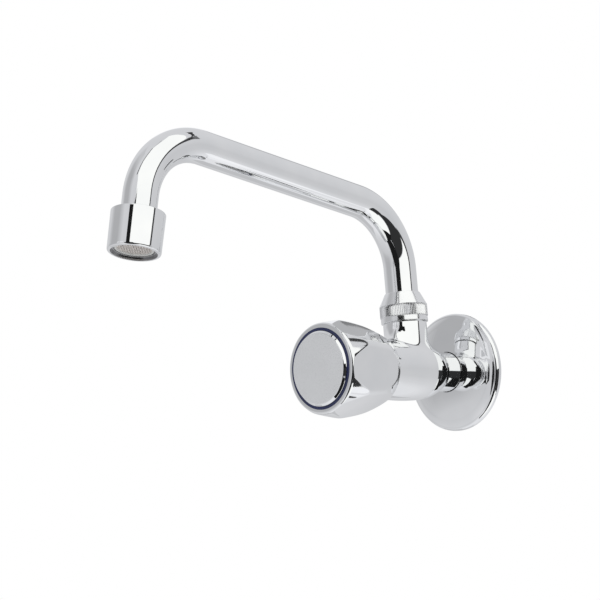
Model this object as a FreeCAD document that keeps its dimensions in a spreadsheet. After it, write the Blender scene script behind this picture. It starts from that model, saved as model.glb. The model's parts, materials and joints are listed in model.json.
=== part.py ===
import FreeCAD, Part
import math
import os

import Sketcher
from FreeCAD import Placement, Rotation, Vector

# A wall tap with a swivel spout. The origin is on the inlet's axis in the wall's face.
# +Y runs into the wall, +Z is up, and lengths are millimetres. A name ending in _at is a
# distance from the wall's face, and one ending in _height is a height above the inlet's axis.
SIZES = {
    # Valve axis and stalk axis
    "stalk_at": 39.3,
    "running_gap": 0.08,
    "loose_gap": 0.3,
    # Inlet tail with its half-inch pipe thread
    "inlet_thread_dia": 20.955,
    "inlet_thread_depth": 16.0,
    "tail_dia": 22.0,
    "tail_start_at": 4.0,
    "inlet_bore_dia": 13.0,
    # Barrel of the body
    "barrel_dia": 32.0,
    "shoulder_start_at": 18.5,
    "shoulder_end_at": 34.0,
    "shoulder_radius": 34.0,
    "barrel_front_drop": 0.65,
    "barrel_front_at": 63.5,
    "barrel_swell_radius": 150.0,
    "barrel_edge": 0.5,
    # Water way inside the body
    "chamber_dia": 19.6,
    "seat_bore_dia": 11.0,
    "seat_floor_at": 29.5,
    "seat_lip_at": 31.0,
    "seat_lip_dia": 14.4,
    "seat_wall": 3.0,
    # Neck that carries the spout
    "neck_dia": 24.0,
    "neck_fillet_share": 0.28125,
    "neck_shoulder_height": 26.4,
    "neck_top_height": 35.0,
    "neck_thread_dia": 22.0,
    "neck_bore_dia": 17.16,
    "neck_bore_floor_height": 18.0,
    "neck_passage_dia": 13.0,
    # Bonnet that screws into the barrel
    "bonnet_thread_dia": 20.955,
    "bonnet_thread_length": 9.0,
    "bonnet_seat_depth": 5.0,
    "bonnet_flange_dia": 25.2,
    "bonnet_flange_thickness": 1.7,
    "bonnet_seal_thickness": 0.8,
    "bonnet_hex_width": 19.0,
    "bonnet_hex_length": 6.0,
    "bonnet_top_dia": 15.0,
    "bonnet_top_length": 7.0,
    "bonnet_sleeve_length": 4.5,
    "guide_hex_width": 11.0,
    "guide_hex_length": 7.0,
    "guide_round_dia": 12.8,
    "guide_round_length": 5.0,
    # Spindle
    "spindle_dia": 9.0,
    "spindle_collar_dia": 10.6,
    "spindle_collar_length": 2.2,
    "spindle_screw_dia": 7.8,
    "spindle_screw_length": 11.3,
    "spindle_washer_thickness": 0.5,
    "spindle_ring_section": 1.5,
    "spindle_ring_spacing": 4.0,
    "spindle_ring_set_back": 4.5,
    "spline_dia": 8.0,
    "spline_length": 10.0,
    "spline_tooth_depth": 0.5,
    "spline_teeth": 20,
    "circlip_dia": 12.4,
    "circlip_thickness": 0.8,
    "circlip_groove_dia": 7.8,
    "circlip_set_back": 0.3,
    "screw_dia": 4.0,
    "screw_head_dia": 7.2,
    "screw_head_height": 2.4,
    "screw_socket_width": 3.0,
    "screw_socket_depth": 1.4,
    "handle_screw_length": 12.0,
    "spindle_screw_hole": 12.0,
    # Plunger and its rubber disc
    "plunger_length": 12.5,
    "plunger_disc_dia": 16.6,
    "plunger_disc_thickness": 2.8,
    "plunger_bore_floor": 1.5,
    "plunger_cup_depth": 1.2,
    "washer_dia": 15.4,
    "washer_thickness": 3.0,
    "seat_gap": 0.1,
    "washer_screw_length": 2.9,
    "washer_screw_head_height": 1.8,
    # Knob
    "knob_rear_at": 65.0,
    "knob_front_at": 107.4,
    "knob_widest_at": 92.5,
    "knob_widest_dia": 52.8,
    "knob_front_slope": 8.5,
    "knob_facet_rear_across": 37.4,
    "knob_facet_front_across": 48.0,
    "knob_facet_radius": 200.0,
    "knob_facets": 6,
    "knob_turned_by": -5.7,
    "knob_ridge_rounding": 4.5,
    "knob_front_rounding": 1.6,
    "knob_rear_dia": 32.4,
    "knob_rear_knee_dia": 38.6,
    "knob_rear_knee_depth": 1.9,
    "knob_rear_knee_radius": 3.0,
    "knob_rear_trim_dia": 51.0,
    "knob_rear_trim_depth": 20.0,
    "knob_rear_trim_radius": 60.0,
    "knob_mouth_dia": 28.6,
    "knob_hollow_dia": 27.6,
    "knob_web": 3.2,
    "knob_front_hollow_dia": 28.0,
    "boss_dia": 20.0,
    "boss_length": 10.0,
    "insert_width": 15.0,
    "insert_length": 9.0,
    # Ring and cap in the knob's face
    "ring_dia": 43.2,
    "ring_band": 1.6,
    "ring_ledge": 2.0,
    "ring_depth": 3.2,
    "ring_stand": 0.1,
    "ring_inner_dia": 36.4,
    "cap_bevel": 1.2,
    "cap_stand": 1.7,
    "cap_crown": 0.5,
    "cap_flat_dia": 8.0,
    "cap_sheet": 1.4,
    "cap_skirt_depth": 3.0,
    # Wall flange
    "flange_dia": 66.0,
    "flange_sheet": 1.0,
    "flange_dome_radius": 90.0,
    "flange_dome_height": 8.6,
    "flange_shoulder_height": 5.2,
    "flange_rim_height": 1.8,
    "flange_rim_width": 6.0,
    "flange_rim_radius": 11.0,
    "flange_ring_section": 2.4,
    # Spout foot, nut and slide ring
    "foot_bore_dia": 12.0,
    "foot_length": 14.6,
    "foot_collar_dia": 20.6,
    "foot_collar_thickness": 2.2,
    "foot_seat_gap": 0.1,
    "foot_nipple_length": 7.0,
    "foot_ring_section": 1.6,
    "ring_groove_play": 0.5,
    "foot_ring_spacing": 6.0,
    "foot_ring_set_back": 3.6,
    "slide_ring_thickness": 0.8,
    "nut_dia": 26.4,
    "nut_band_dia": 25.9,
    "nut_band_height": 3.3,
    "nut_knurl_height": 5.7,
    "nut_cone_height": 7.6,
    "nut_top_dia": 19.4,
    "nut_groove": 0.4,
    "nut_knurls": 72,
    "nut_knurl_depth": 0.35,
    # Spout tube
    "tube_dia": 18.0,
    "tube_wall": 1.0,
    "bend_radius": 37.0,
    "rise_corner_height": 88.0,
    "rise_angle": 9.7,
    "run_length": 176.6,
    "drop_length": 44.3,
    "outlet_tilt": 12.9,
    # Outlet collar and aerator, measured down from the sleeve's top
    "sleeve_top_dia": 27.4,
    "sleeve_bottom_dia": 26.8,
    "sleeve_length": 20.8,
    "sleeve_edge": 1.2,
    "outlet_thread_dia": 24.0,
    "collar_top": 0.8,
    "collar_socket": 6.0,
    "collar_length": 9.6,
    "aerator_seal_thickness": 1.8,
    "aerator_chamber_dia": 22.4,
    "sleeve_lip_dia": 20.0,
    "sleeve_lip_thickness": 1.2,
    "sleeve_mouth_dia": 23.2,
    "sleeve_mouth_depth": 1.3,
    "insert_flange_thickness": 1.4,
    "insert_rim_dia": 19.6,
    "insert_rim_depth": 0.7,
    "insert_inner_dia": 16.4,
    "jet_dia": 2.2,
    "jet_circle_dia": 11.4,
    "jets": 8,
    "screen_dia": 17.4,
    "screen_thickness": 0.6,
    "screen_pitch": 1.5,
    "screen_wire": 0.45,
    "screen_wires": 11,
    "screen_rim": 0.7,
}


class Size:
    """A number worked out from the sheet's cells, with the formula that gives it."""

    def __init__(self, value, formula):
        self.value = float(value)
        self.formula = formula

    def __add__(self, other):
        return Size(self.value + value_of(other), f"({self.formula} + {formula_of(other)})")

    def __radd__(self, other):
        return Size(value_of(other) + self.value, f"({formula_of(other)} + {self.formula})")

    def __sub__(self, other):
        return Size(self.value - value_of(other), f"({self.formula} - {formula_of(other)})")

    def __rsub__(self, other):
        return Size(value_of(other) - self.value, f"({formula_of(other)} - {self.formula})")

    def __mul__(self, other):
        return Size(self.value * value_of(other), f"{self.formula} * {formula_of(other)}")

    def __rmul__(self, other):
        return Size(value_of(other) * self.value, f"{formula_of(other)} * {self.formula}")

    def __truediv__(self, other):
        return Size(self.value / value_of(other), f"{self.formula} / {formula_of(other)}")

    def __rtruediv__(self, other):
        return Size(value_of(other) / self.value, f"{formula_of(other)} / {self.formula}")

    def __neg__(self):
        return Size(-self.value, f"(0 - {self.formula})")


def value_of(size):
    return size.value if isinstance(size, Size) else float(size)


def formula_of(size):
    return size.formula if isinstance(size, Size) else repr(float(size))


def sine(angle):
    return Size(math.sin(math.radians(value_of(angle))), f"sin({formula_of(angle)})")


def cosine(angle):
    return Size(math.cos(math.radians(value_of(angle))), f"cos({formula_of(angle)})")


def tangent(angle):
    return Size(math.tan(math.radians(value_of(angle))), f"tan({formula_of(angle)})")


class Sheet:
    """The spreadsheet of driving sizes. Each alias reads as a Size, such as sizes.tube_dia."""

    def __init__(self, document, numbers):
        self.page = document.addObject("Spreadsheet::Sheet", "Sizes")
        self.numbers = numbers
        for row, (alias, number) in enumerate(numbers.items(), start=1):
            self.page.set(f"A{row}", alias)
            self.page.set(f"B{row}", str(number))
            self.page.setAlias(f"B{row}", alias)

    def __getattr__(self, alias):
        return Size(self.numbers[alias], f"Sizes.{alias}")


# The play between pieces that are pressed, screwed or glued together
FIT = 0.03

doc = FreeCAD.newDocument("WaterTap")
sizes = Sheet(doc, SIZES)
doc.recompute()


# Places that several pieces share

tail_radius = sizes.tail_dia / 2
barrel_front_radius = sizes.barrel_dia / 2 - sizes.barrel_front_drop
bonnet_seat_at = sizes.barrel_front_at - sizes.bonnet_seat_depth
bonnet_thread_start_at = bonnet_seat_at - sizes.bonnet_thread_length
bonnet_flange_at = bonnet_seat_at + sizes.bonnet_seal_thickness
bonnet_hex_at = bonnet_flange_at + sizes.bonnet_flange_thickness
bonnet_neck_at = bonnet_hex_at + sizes.bonnet_hex_length
bonnet_top_at = bonnet_neck_at + sizes.bonnet_top_length
guide_start_at = bonnet_thread_start_at - sizes.bonnet_sleeve_length
guide_round_at = guide_start_at + sizes.guide_hex_length
guide_end_at = guide_round_at + sizes.guide_round_length
spindle_radius = sizes.spindle_dia / 2
spindle_collar_front_at = guide_end_at - sizes.spindle_washer_thickness - sizes.running_gap
spindle_collar_rear_at = spindle_collar_front_at - sizes.spindle_collar_length
spindle_screw_end_at = spindle_collar_rear_at - sizes.spindle_screw_length
circlip_at = bonnet_top_at + sizes.circlip_set_back
spline_start_at = circlip_at + sizes.circlip_thickness * 2
spindle_end_at = spline_start_at + sizes.spline_length
washer_face_at = sizes.seat_lip_at + sizes.seat_gap
plunger_face_at = washer_face_at + sizes.washer_thickness
plunger_stem_at = plunger_face_at + sizes.plunger_disc_thickness
plunger_end_at = plunger_stem_at + sizes.plunger_length
web_rear_at = spindle_end_at + sizes.loose_gap
web_front_at = web_rear_at + sizes.knob_web
insert_rear_at = web_rear_at - sizes.insert_length
face_floor_at = sizes.knob_front_at - sizes.ring_depth - sizes.cap_skirt_depth
ring_floor_at = sizes.knob_front_at - sizes.ring_depth
foot_collar_height = sizes.neck_top_height + sizes.foot_seat_gap
tube_foot_height = foot_collar_height + sizes.foot_collar_thickness
foot_bottom_height = foot_collar_height - sizes.foot_length
slide_ring_top_height = tube_foot_height + sizes.slide_ring_thickness + sizes.running_gap
nut_bottom_height = sizes.neck_shoulder_height + sizes.loose_gap
nut_cone_bottom_height = nut_bottom_height + sizes.nut_band_height + sizes.nut_knurl_height
nut_top_height = nut_cone_bottom_height + sizes.nut_cone_height
tube_radius = sizes.tube_dia / 2
tube_bore_radius = tube_radius - sizes.tube_wall
outlet_thread_radius = sizes.outlet_thread_dia / 2
collar_bottom = sizes.collar_top + sizes.collar_length
aerator_top = collar_bottom + sizes.aerator_seal_thickness
mouth_floor = sizes.sleeve_length - sizes.sleeve_mouth_depth
lip_top = mouth_floor - sizes.sleeve_lip_thickness
screen_top = lip_top - sizes.screen_thickness
ring_top_at = sizes.knob_front_at + sizes.ring_stand
ring_ledge_at = ring_floor_at + sizes.ring_ledge


# Sketches


def bind(thing, name, size):
    """Sets a property, and ties it to the sheet where the size comes from there."""
    if isinstance(size, Size):
        thing.setExpression(name, size.formula)
    else:
        setattr(thing, name, size)


def new_body(label):
    body = doc.addObject("PartDesign::Body", label)
    body.Label = label
    return body


def new_sketch(body, plane, name, height=0.0):
    """An empty sketch on one of the body's own origin planes, or at a height above it."""
    sketch = body.newObject("Sketcher::SketchObject", name)
    origin_plane = next(f for f in body.Origin.OriginFeatures if f.Role == plane)
    sketch.AttachmentSupport = [(origin_plane, "")]
    sketch.MapMode = "FlatFace"
    if isinstance(height, Size):
        sketch.setExpression("AttachmentOffset.Base.z", height.formula)
    return sketch


def constrain(sketch, size, *constraint):
    """Adds a dimension to a sketch, and ties it to the sheet where its size comes from there."""
    index = sketch.addConstraint(Sketcher.Constraint(*constraint, value_of(size)))
    if isinstance(size, Size):
        sketch.setExpression(f"Constraints[{index}]", size.formula)


def pin_point(sketch, edge, end, u, v):
    """Holds one point of an edge at u along the sketch and v up it."""
    for kind, axis, size in (("DistanceX", -2, u), ("DistanceY", -1, v)):
        if value_of(size) == 0 and not isinstance(size, Size):
            sketch.addConstraint(Sketcher.Constraint("PointOnObject", edge, end, axis))
        else:
            constrain(sketch, size, kind, edge, end)


def arc_between(start, end, radius):
    """The short arc from start to end, which turns left where the radius is positive."""
    chord = end - start
    height = math.sqrt(radius * radius - (chord.Length / 2) ** 2)
    side = 1 if radius > 0 else -1
    left = Vector(-chord.y, chord.x, 0).normalize()
    centre = (start + end) * 0.5 + left * (side * height)
    first, last = (start, end) if side > 0 else (end, start)
    circle = Part.Circle(centre, Vector(0, 0, 1), abs(radius))
    angles = [math.atan2(point.y - centre.y, point.x - centre.x) for point in (first, last)]
    return Part.ArcOfCircle(circle, *angles)


def draw_chain(sketch, corners, closed=True):
    """Lines and arcs in a row. A corner with a third number, a radius, starts an arc to the next one."""
    points = [Vector(value_of(corner[0]), value_of(corner[1]), 0) for corner in corners]
    count = len(corners) if closed else len(corners) - 1
    edges = []
    for index in range(count):
        corner = corners[index]
        start = points[index]
        end = points[(index + 1) % len(points)]
        if len(corner) == 2:
            edge = sketch.addGeometry(Part.LineSegment(start, end))
            edges.append((edge, 1, 2))
            continue
        radius = value_of(corner[2])
        edge = sketch.addGeometry(arc_between(start, end, radius))
        edges.append((edge, 1, 2) if radius > 0 else (edge, 2, 1))
        constrain(sketch, corner[2] if radius > 0 else -corner[2], "Radius", edge)
    for index, (edge, first, last) in enumerate(edges):
        pin_point(sketch, edge, first, corners[index][0], corners[index][1])
        if closed or index + 1 < count:
            next_edge, next_first, _ = edges[(index + 1) % count]
            sketch.addConstraint(Sketcher.Constraint("Coincident", edge, last, next_edge, next_first))
        else:
            pin_point(sketch, edge, last, corners[-1][0], corners[-1][1])


def draw_circle(sketch, u, v, radius):
    centre = Vector(value_of(u), value_of(v), 0)
    edge = sketch.addGeometry(Part.Circle(centre, Vector(0, 0, 1), value_of(radius)))
    constrain(sketch, radius, "Radius", edge)
    pin_point(sketch, edge, 3, u, v)


def draw_hexagon(sketch, width):
    """A regular hexagon about the sketch's centre, with two flats square to its upright axis."""
    half = width / 2
    corner = half / cosine(30)
    points = [(corner, 0.0), (corner / 2, half), (-corner / 2, half)]
    points += [(-corner, 0.0), (-corner / 2, -half), (corner / 2, -half)]
    draw_chain(sketch, points)


# Features


def revolve(body, name, corners, cut=False):
    """A profile of (radius, height) corners turned about the body's own Z axis."""
    sketch = new_sketch(body, "XZ_Plane", name + "_profile")
    draw_chain(sketch, corners)
    kind = "PartDesign::Groove" if cut else "PartDesign::Revolution"
    feature = body.newObject(kind, name)
    feature.Profile = sketch
    feature.ReferenceAxis = (sketch, ["V_Axis"])
    feature.Angle = 360
    return feature


def bore_stalk(body, name, corners):
    """Turns a profile of (height, distance) corners about the stalk's axis, out of the valve body."""
    sketch = new_sketch(body, "YZ_Plane", name + "_profile")
    draw_chain(sketch, corners)
    axis = sketch.addGeometry(Part.LineSegment(Vector(0, 1, 0), Vector(1, 1, 0)), True)
    sketch.addConstraint(Sketcher.Constraint("Horizontal", axis))
    sketch.addConstraint(Sketcher.Constraint("PointOnObject", axis, 1, -2))
    constrain(sketch, sizes.stalk_at, "DistanceY", axis, 1)
    constrain(sketch, sizes.neck_top_height, "DistanceX", axis, 2)
    feature = body.newObject("PartDesign::Groove", name)
    feature.Profile = sketch
    feature.ReferenceAxis = (sketch, ["Axis0"])
    feature.Angle = 360
    return feature


def extrude(body, name, sketch, length, reverse=False, cut=False, midplane=False):
    kind = "PartDesign::Pocket" if cut else "PartDesign::Pad"
    feature = body.newObject(kind, name)
    feature.Profile = sketch
    bind(feature, "Length", length)
    feature.Reversed = reverse
    feature.Midplane = midplane
    return feature


def dress(body, kind, name, size, test):
    """A fillet or chamfer on the edges of the body that pass the test."""
    doc.recompute()
    base = body.Tip
    edges = [f"Edge{n}" for n, edge in enumerate(base.Shape.Edges, 1) if test(edge)]
    feature = body.newObject(kind, name)
    feature.Base = (base, edges)
    bind(feature, "Radius" if kind == "PartDesign::Fillet" else "Size", size)
    return feature


def repeat_round(body, name, feature, count):
    """Repeats a feature evenly about the body's own Z axis."""
    pattern = body.newObject("PartDesign::PolarPattern", name)
    pattern.Originals = [feature]
    axis = next(f for f in body.Origin.OriginFeatures if f.Role == "Z_Axis")
    pattern.Axis = (axis, [""])
    pattern.Angle = 360
    bind(pattern, "Occurrences", count)
    body.Tip = pattern
    return pattern


def turned(label, corners):
    """A piece turned about its own Z axis from a profile of (radius, height) corners."""
    body = new_body(label)
    revolve(body, "turned", corners)
    return body


def o_rings(label, middle, heights, section):
    """Round-section rings about the Z axis, one at each height."""
    body = new_body(label)
    sketch = new_sketch(body, "XZ_Plane", "sections")
    for height in heights:
        draw_circle(sketch, middle, height, section)
    feature = body.newObject("PartDesign::Revolution", "rings")
    feature.Profile = sketch
    feature.ReferenceAxis = (sketch, ["V_Axis"])
    feature.Angle = 360
    return body


def ring_corners(inner, outer, bottom, top):
    return [(inner, bottom), (outer, bottom), (outer, top), (inner, top)]


def circle_at(edge, radius, height, slack=0.05):
    """True for a full circle about the Z axis with this radius at this height."""
    centre = getattr(edge.Curve, "Center", None)
    if centre is None or not edge.isClosed():
        return False
    on_axis = math.hypot(centre.x, centre.y) < slack
    right_radius = abs(edge.Curve.Radius - value_of(radius)) < slack
    return on_axis and right_radius and abs(centre.z - value_of(height)) < slack


# Places of the three axes


def on_valve_axis(body):
    """The body's own Z axis runs out of the wall, and its own Y axis runs up."""
    body.Placement = Placement(Vector(0, 0, 0), Rotation(Vector(1, 0, 0), 90))
    return body


def on_knob_axis(body):
    """As on the valve's axis, but turned with the knob's facets."""
    upright = Rotation(Vector(1, 0, 0), 90)
    turn = Rotation(Vector(0, 0, 1), value_of(sizes.knob_turned_by))
    body.Placement = Placement(Vector(0, 0, 0), upright.multiply(turn))
    return body


def on_stalk_axis(body):
    body.setExpression("Placement.Base.y", (-sizes.stalk_at).formula)
    return body


def on_outlet_axis(body):
    """The body's own Z axis runs down the outlet, from the top of the aerator sleeve."""
    reach = sizes.run_length * cosine(sizes.rise_angle) + sizes.drop_length * sine(sizes.outlet_tilt)
    rise = sizes.run_length * sine(sizes.rise_angle) - sizes.drop_length * cosine(sizes.outlet_tilt)
    body.Placement = Placement(Vector(0, 0, 0), Rotation(Vector(1, 0, 0), 180))
    body.setExpression("Placement.Base.y", (-(sizes.stalk_at + reach)).formula)
    body.setExpression("Placement.Base.z", (sizes.rise_corner_height + rise).formula)
    body.setExpression("Placement.Rotation.Angle", (180 - sizes.outlet_tilt).formula)
    return body


# Body and wall flange


def tap_body():
    """The casting: tail, swelling barrel and upright neck, with the water way through it."""
    body = new_body("tap_body")
    thread_radius = sizes.inlet_thread_dia / 2
    revolve(body, "barrel", [
        (0.0, -sizes.inlet_thread_depth),
        (thread_radius, -sizes.inlet_thread_depth),
        (thread_radius, sizes.tail_start_at),
        (tail_radius, sizes.tail_start_at),
        (tail_radius, sizes.shoulder_start_at, sizes.shoulder_radius),
        (sizes.barrel_dia / 2, sizes.shoulder_end_at, sizes.barrel_swell_radius),
        (barrel_front_radius, sizes.barrel_front_at),
        (0.0, sizes.barrel_front_at),
    ])
    neck = new_sketch(body, "XZ_Plane", "neck_circle")
    draw_circle(neck, 0.0, sizes.stalk_at, sizes.neck_dia / 2)
    extrude(body, "neck", neck, sizes.neck_shoulder_height, reverse=True)

    def saddle(edge):
        box = edge.BoundBox
        above = box.YMin > 5 and box.YMax < value_of(sizes.barrel_dia) / 2 + 1
        return above and box.ZMax < value_of(sizes.stalk_at + sizes.neck_dia / 2) + 1 and edge.Length > 5

    neck_fillet = sizes.barrel_dia * sizes.neck_fillet_share
    dress(body, "PartDesign::Fillet", "saddle", neck_fillet, saddle)
    thread = new_sketch(body, "XZ_Plane", "neck_thread_circle")
    draw_circle(thread, 0.0, sizes.stalk_at, sizes.neck_thread_dia / 2)
    extrude(body, "neck_thread", thread, sizes.neck_top_height, reverse=True)
    dress(body, "PartDesign::Fillet", "barrel_rounding", sizes.barrel_edge,
          lambda edge: circle_at(edge, barrel_front_radius, sizes.barrel_front_at))
    bonnet_bore = sizes.bonnet_thread_dia / 2 + sizes.running_gap
    chamber = sizes.chamber_dia / 2
    lip = sizes.seat_lip_dia / 2
    seat = sizes.seat_bore_dia / 2
    inlet = sizes.inlet_bore_dia / 2
    revolve(body, "water_way", [
        (0.0, -sizes.inlet_thread_depth - 1),
        (inlet, -sizes.inlet_thread_depth - 1),
        (inlet, sizes.seat_floor_at - sizes.seat_wall),
        (seat, sizes.seat_floor_at - sizes.seat_wall),
        (seat, sizes.seat_lip_at),
        (lip, sizes.seat_lip_at),
        (lip, sizes.seat_floor_at),
        (chamber, sizes.seat_floor_at),
        (chamber, bonnet_thread_start_at - sizes.loose_gap),
        (bonnet_bore, bonnet_thread_start_at - sizes.loose_gap),
        (bonnet_bore, bonnet_seat_at),
        (sizes.bonnet_flange_dia / 2 + sizes.loose_gap, bonnet_seat_at),
        (sizes.bonnet_flange_dia / 2 + sizes.loose_gap, sizes.barrel_front_at + 1),
        (0.0, sizes.barrel_front_at + 1),
    ], cut=True)
    bore_stalk(body, "spout_way", [
        (0.0, sizes.stalk_at),
        (0.0, sizes.stalk_at + sizes.neck_passage_dia / 2),
        (sizes.neck_bore_floor_height, sizes.stalk_at + sizes.neck_passage_dia / 2),
        (sizes.neck_bore_floor_height, sizes.stalk_at + sizes.neck_bore_dia / 2),
        (sizes.neck_top_height + 1, sizes.stalk_at + sizes.neck_bore_dia / 2),
        (sizes.neck_top_height + 1, sizes.stalk_at),
    ])
    return on_valve_axis(body)


def wall_flange():
    """A thin domed sheet with a rounded rim, open behind, with a hole for the tail."""
    rim = sizes.flange_dia / 2
    shoulder = rim - sizes.flange_rim_width
    hole = tail_radius + sizes.loose_gap
    sheet = sizes.flange_sheet
    return on_valve_axis(turned("wall_flange", [
        (rim, 0.0),
        (rim, sizes.flange_rim_height, sizes.flange_rim_radius),
        (shoulder, sizes.flange_shoulder_height, sizes.flange_dome_radius),
        (hole, sizes.flange_dome_height),
        (hole, sizes.flange_dome_height - sheet, sheet - sizes.flange_dome_radius),
        (shoulder - sheet / 2, sizes.flange_shoulder_height - sheet, sheet - sizes.flange_rim_radius),
        (rim - sheet, sizes.flange_rim_height),
        (rim - sheet, 0.0),
    ]))


def flange_o_ring():
    """Grips the tail just behind the flange's hole."""
    section = sizes.flange_ring_section / 2
    height = sizes.flange_dome_height - sizes.flange_sheet - section - sizes.loose_gap
    return on_valve_axis(o_rings("flange_o_ring", tail_radius + section + FIT, [height], section))


# Headwork


def bonnet():
    """The headwork's housing: guide sleeve, thread, flange, hexagon and upper neck, bored through."""
    body = new_body("bonnet")
    sleeve = sizes.chamber_dia / 2 - sizes.loose_gap
    thread = sizes.bonnet_thread_dia / 2
    flange = sizes.bonnet_flange_dia / 2
    top = sizes.bonnet_top_dia / 2
    revolve(body, "housing", [
        (0.0, guide_start_at),
        (sleeve, guide_start_at),
        (sleeve, bonnet_thread_start_at),
        (thread, bonnet_thread_start_at),
        (thread, bonnet_flange_at),
        (flange, bonnet_flange_at),
        (flange, bonnet_hex_at),
        (top, bonnet_hex_at),
        (top, bonnet_top_at),
        (0.0, bonnet_top_at),
    ])
    hexagon = new_sketch(body, "XY_Plane", "spanner_hexagon", bonnet_hex_at)
    draw_hexagon(hexagon, sizes.bonnet_hex_width)
    extrude(body, "spanner_flats", hexagon, sizes.bonnet_hex_length)
    guide = new_sketch(body, "XY_Plane", "guide_hexagon", guide_start_at)
    draw_hexagon(guide, sizes.guide_hex_width)
    extrude(body, "guide", guide, sizes.guide_hex_length, reverse=True, cut=True)
    revolve(body, "spindle_bore", [
        (0.0, guide_round_at),
        (sizes.guide_round_dia / 2, guide_round_at),
        (sizes.guide_round_dia / 2, guide_end_at),
        (spindle_radius + sizes.running_gap, guide_end_at),
        (spindle_radius + sizes.running_gap, bonnet_top_at + 1),
        (0.0, bonnet_top_at + 1),
    ], cut=True)
    return on_valve_axis(body)


def bonnet_seal():
    inner = sizes.bonnet_thread_dia / 2 + sizes.running_gap
    outer = sizes.bonnet_flange_dia / 2
    corners = ring_corners(inner, outer, bonnet_seat_at, bonnet_flange_at)
    return on_valve_axis(turned("bonnet_seal", corners))


def spindle_groove_heights():
    """Where the middle of each ring groove on the spindle lies."""
    first = guide_end_at + sizes.spindle_ring_set_back
    return [first, first + sizes.spindle_ring_spacing]


def grooves(radius, floor, width, heights):
    """The corners of square grooves down to the floor in a stem of this radius."""
    corners = []
    for height in heights:
        corners += [(radius, height - width / 2), (floor, height - width / 2)]
        corners += [(floor, height + width / 2), (radius, height + width / 2)]
    return corners


def spindle():
    """Screw end, collar, sealed shank, circlip groove and splined front with the screw's hole."""
    body = new_body("spindle")
    screw = sizes.spindle_screw_dia / 2
    collar = sizes.spindle_collar_dia / 2
    spline = sizes.spline_dia / 2
    hole = sizes.screw_dia / 2 + FIT
    ring_floor = spindle_radius - sizes.spindle_ring_section - FIT
    ring_width = sizes.spindle_ring_section + sizes.ring_groove_play
    clip_middle = circlip_at + sizes.circlip_thickness / 2
    clip_width = sizes.circlip_thickness + 2 * FIT
    revolve(body, "stem", [
        (0.0, spindle_screw_end_at),
        (screw, spindle_screw_end_at),
        (screw, spindle_collar_rear_at),
        (collar, spindle_collar_rear_at),
        (collar, spindle_collar_front_at),
        (spindle_radius, spindle_collar_front_at),
        *grooves(spindle_radius, ring_floor, ring_width, spindle_groove_heights()),
        *grooves(spindle_radius, sizes.circlip_groove_dia / 2, clip_width, [clip_middle]),
        (spindle_radius, spline_start_at),
        (spline, spline_start_at),
        (spline, spindle_end_at),
        (hole, spindle_end_at),
        (hole, spindle_end_at - sizes.spindle_screw_hole),
        (0.0, spindle_end_at - sizes.spindle_screw_hole),
    ])
    gap = new_sketch(body, "XY_Plane", "spline_gap", spindle_end_at)
    depth = sizes.spline_tooth_depth
    draw_tooth(gap, spline - depth, spline + depth, spline_tooth_width())
    cut = extrude(body, "spline_cut", gap, sizes.spline_length, cut=True)
    repeat_round(body, "splines", cut, sizes.spline_teeth)
    return on_knob_axis(body)


def spline_tooth_width():
    """Half the width of a tooth gap, taken past the tips so that the teeth come out pointed."""
    return sizes.spline_dia * tangent(180 / sizes.spline_teeth)


def draw_tooth(sketch, tip, base, half_width):
    """A triangle that points at the sketch's centre, its tip at one radius and its base at another."""
    draw_chain(sketch, [(tip, 0.0), (base, half_width / 2), (base, -half_width / 2)])


def spindle_o_rings():
    section = sizes.spindle_ring_section / 2
    middle = spindle_radius - section
    return on_valve_axis(o_rings("spindle_o_rings", middle, spindle_groove_heights(), section))


def spindle_washer():
    inner = spindle_radius + sizes.running_gap
    top = guide_end_at - sizes.running_gap / 2
    bottom = top - sizes.spindle_washer_thickness
    corners = ring_corners(inner, sizes.spindle_collar_dia / 2, bottom, top)
    return on_valve_axis(turned("spindle_washer", corners))


def spindle_circlip():
    """An open ring in the spindle's groove, in front of the bonnet."""
    inner = sizes.circlip_groove_dia / 2 + FIT
    corners = ring_corners(inner, sizes.circlip_dia / 2, circlip_at, circlip_at + sizes.circlip_thickness)
    body = turned("spindle_circlip", corners)
    body.Tip.Angle = 330
    return on_knob_axis(body)


def handle_insert():
    """A hexagonal plastic sleeve, ribbed inside to sit on the spindle's splines."""
    body = new_body("handle_insert")
    bore = sizes.spline_dia / 2 + sizes.running_gap
    hexagon = new_sketch(body, "XY_Plane", "hexagon", insert_rear_at)
    draw_hexagon(hexagon, sizes.insert_width)
    draw_circle(hexagon, 0.0, 0.0, bore)
    extrude(body, "sleeve", hexagon, sizes.insert_length)
    rib = new_sketch(body, "XY_Plane", "rib_triangle", insert_rear_at)
    tip = bore - sizes.spline_tooth_depth
    draw_tooth(rib, tip, bore + sizes.spline_tooth_depth, spline_tooth_width())
    ridge = extrude(body, "rib", rib, sizes.insert_length)
    repeat_round(body, "ribs", ridge, sizes.spline_teeth)
    return on_knob_axis(body)


def handle_screw():
    """Cheese head with a hexagonal socket, its shank in the spindle's end."""
    body = new_body("handle_screw")
    shank = sizes.screw_dia / 2
    head = sizes.screw_head_dia / 2
    head_top = web_front_at + sizes.screw_head_height
    revolve(body, "screw", [
        (0.0, web_front_at - sizes.handle_screw_length),
        (shank, web_front_at - sizes.handle_screw_length),
        (shank, web_front_at),
        (head, web_front_at),
        (head, head_top),
        (0.0, head_top),
    ])
    socket = new_sketch(body, "XY_Plane", "socket_hexagon", head_top)
    draw_hexagon(socket, sizes.screw_socket_width)
    extrude(body, "socket", socket, sizes.screw_socket_depth, cut=True)
    return on_knob_axis(body)


# Plunger


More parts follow.
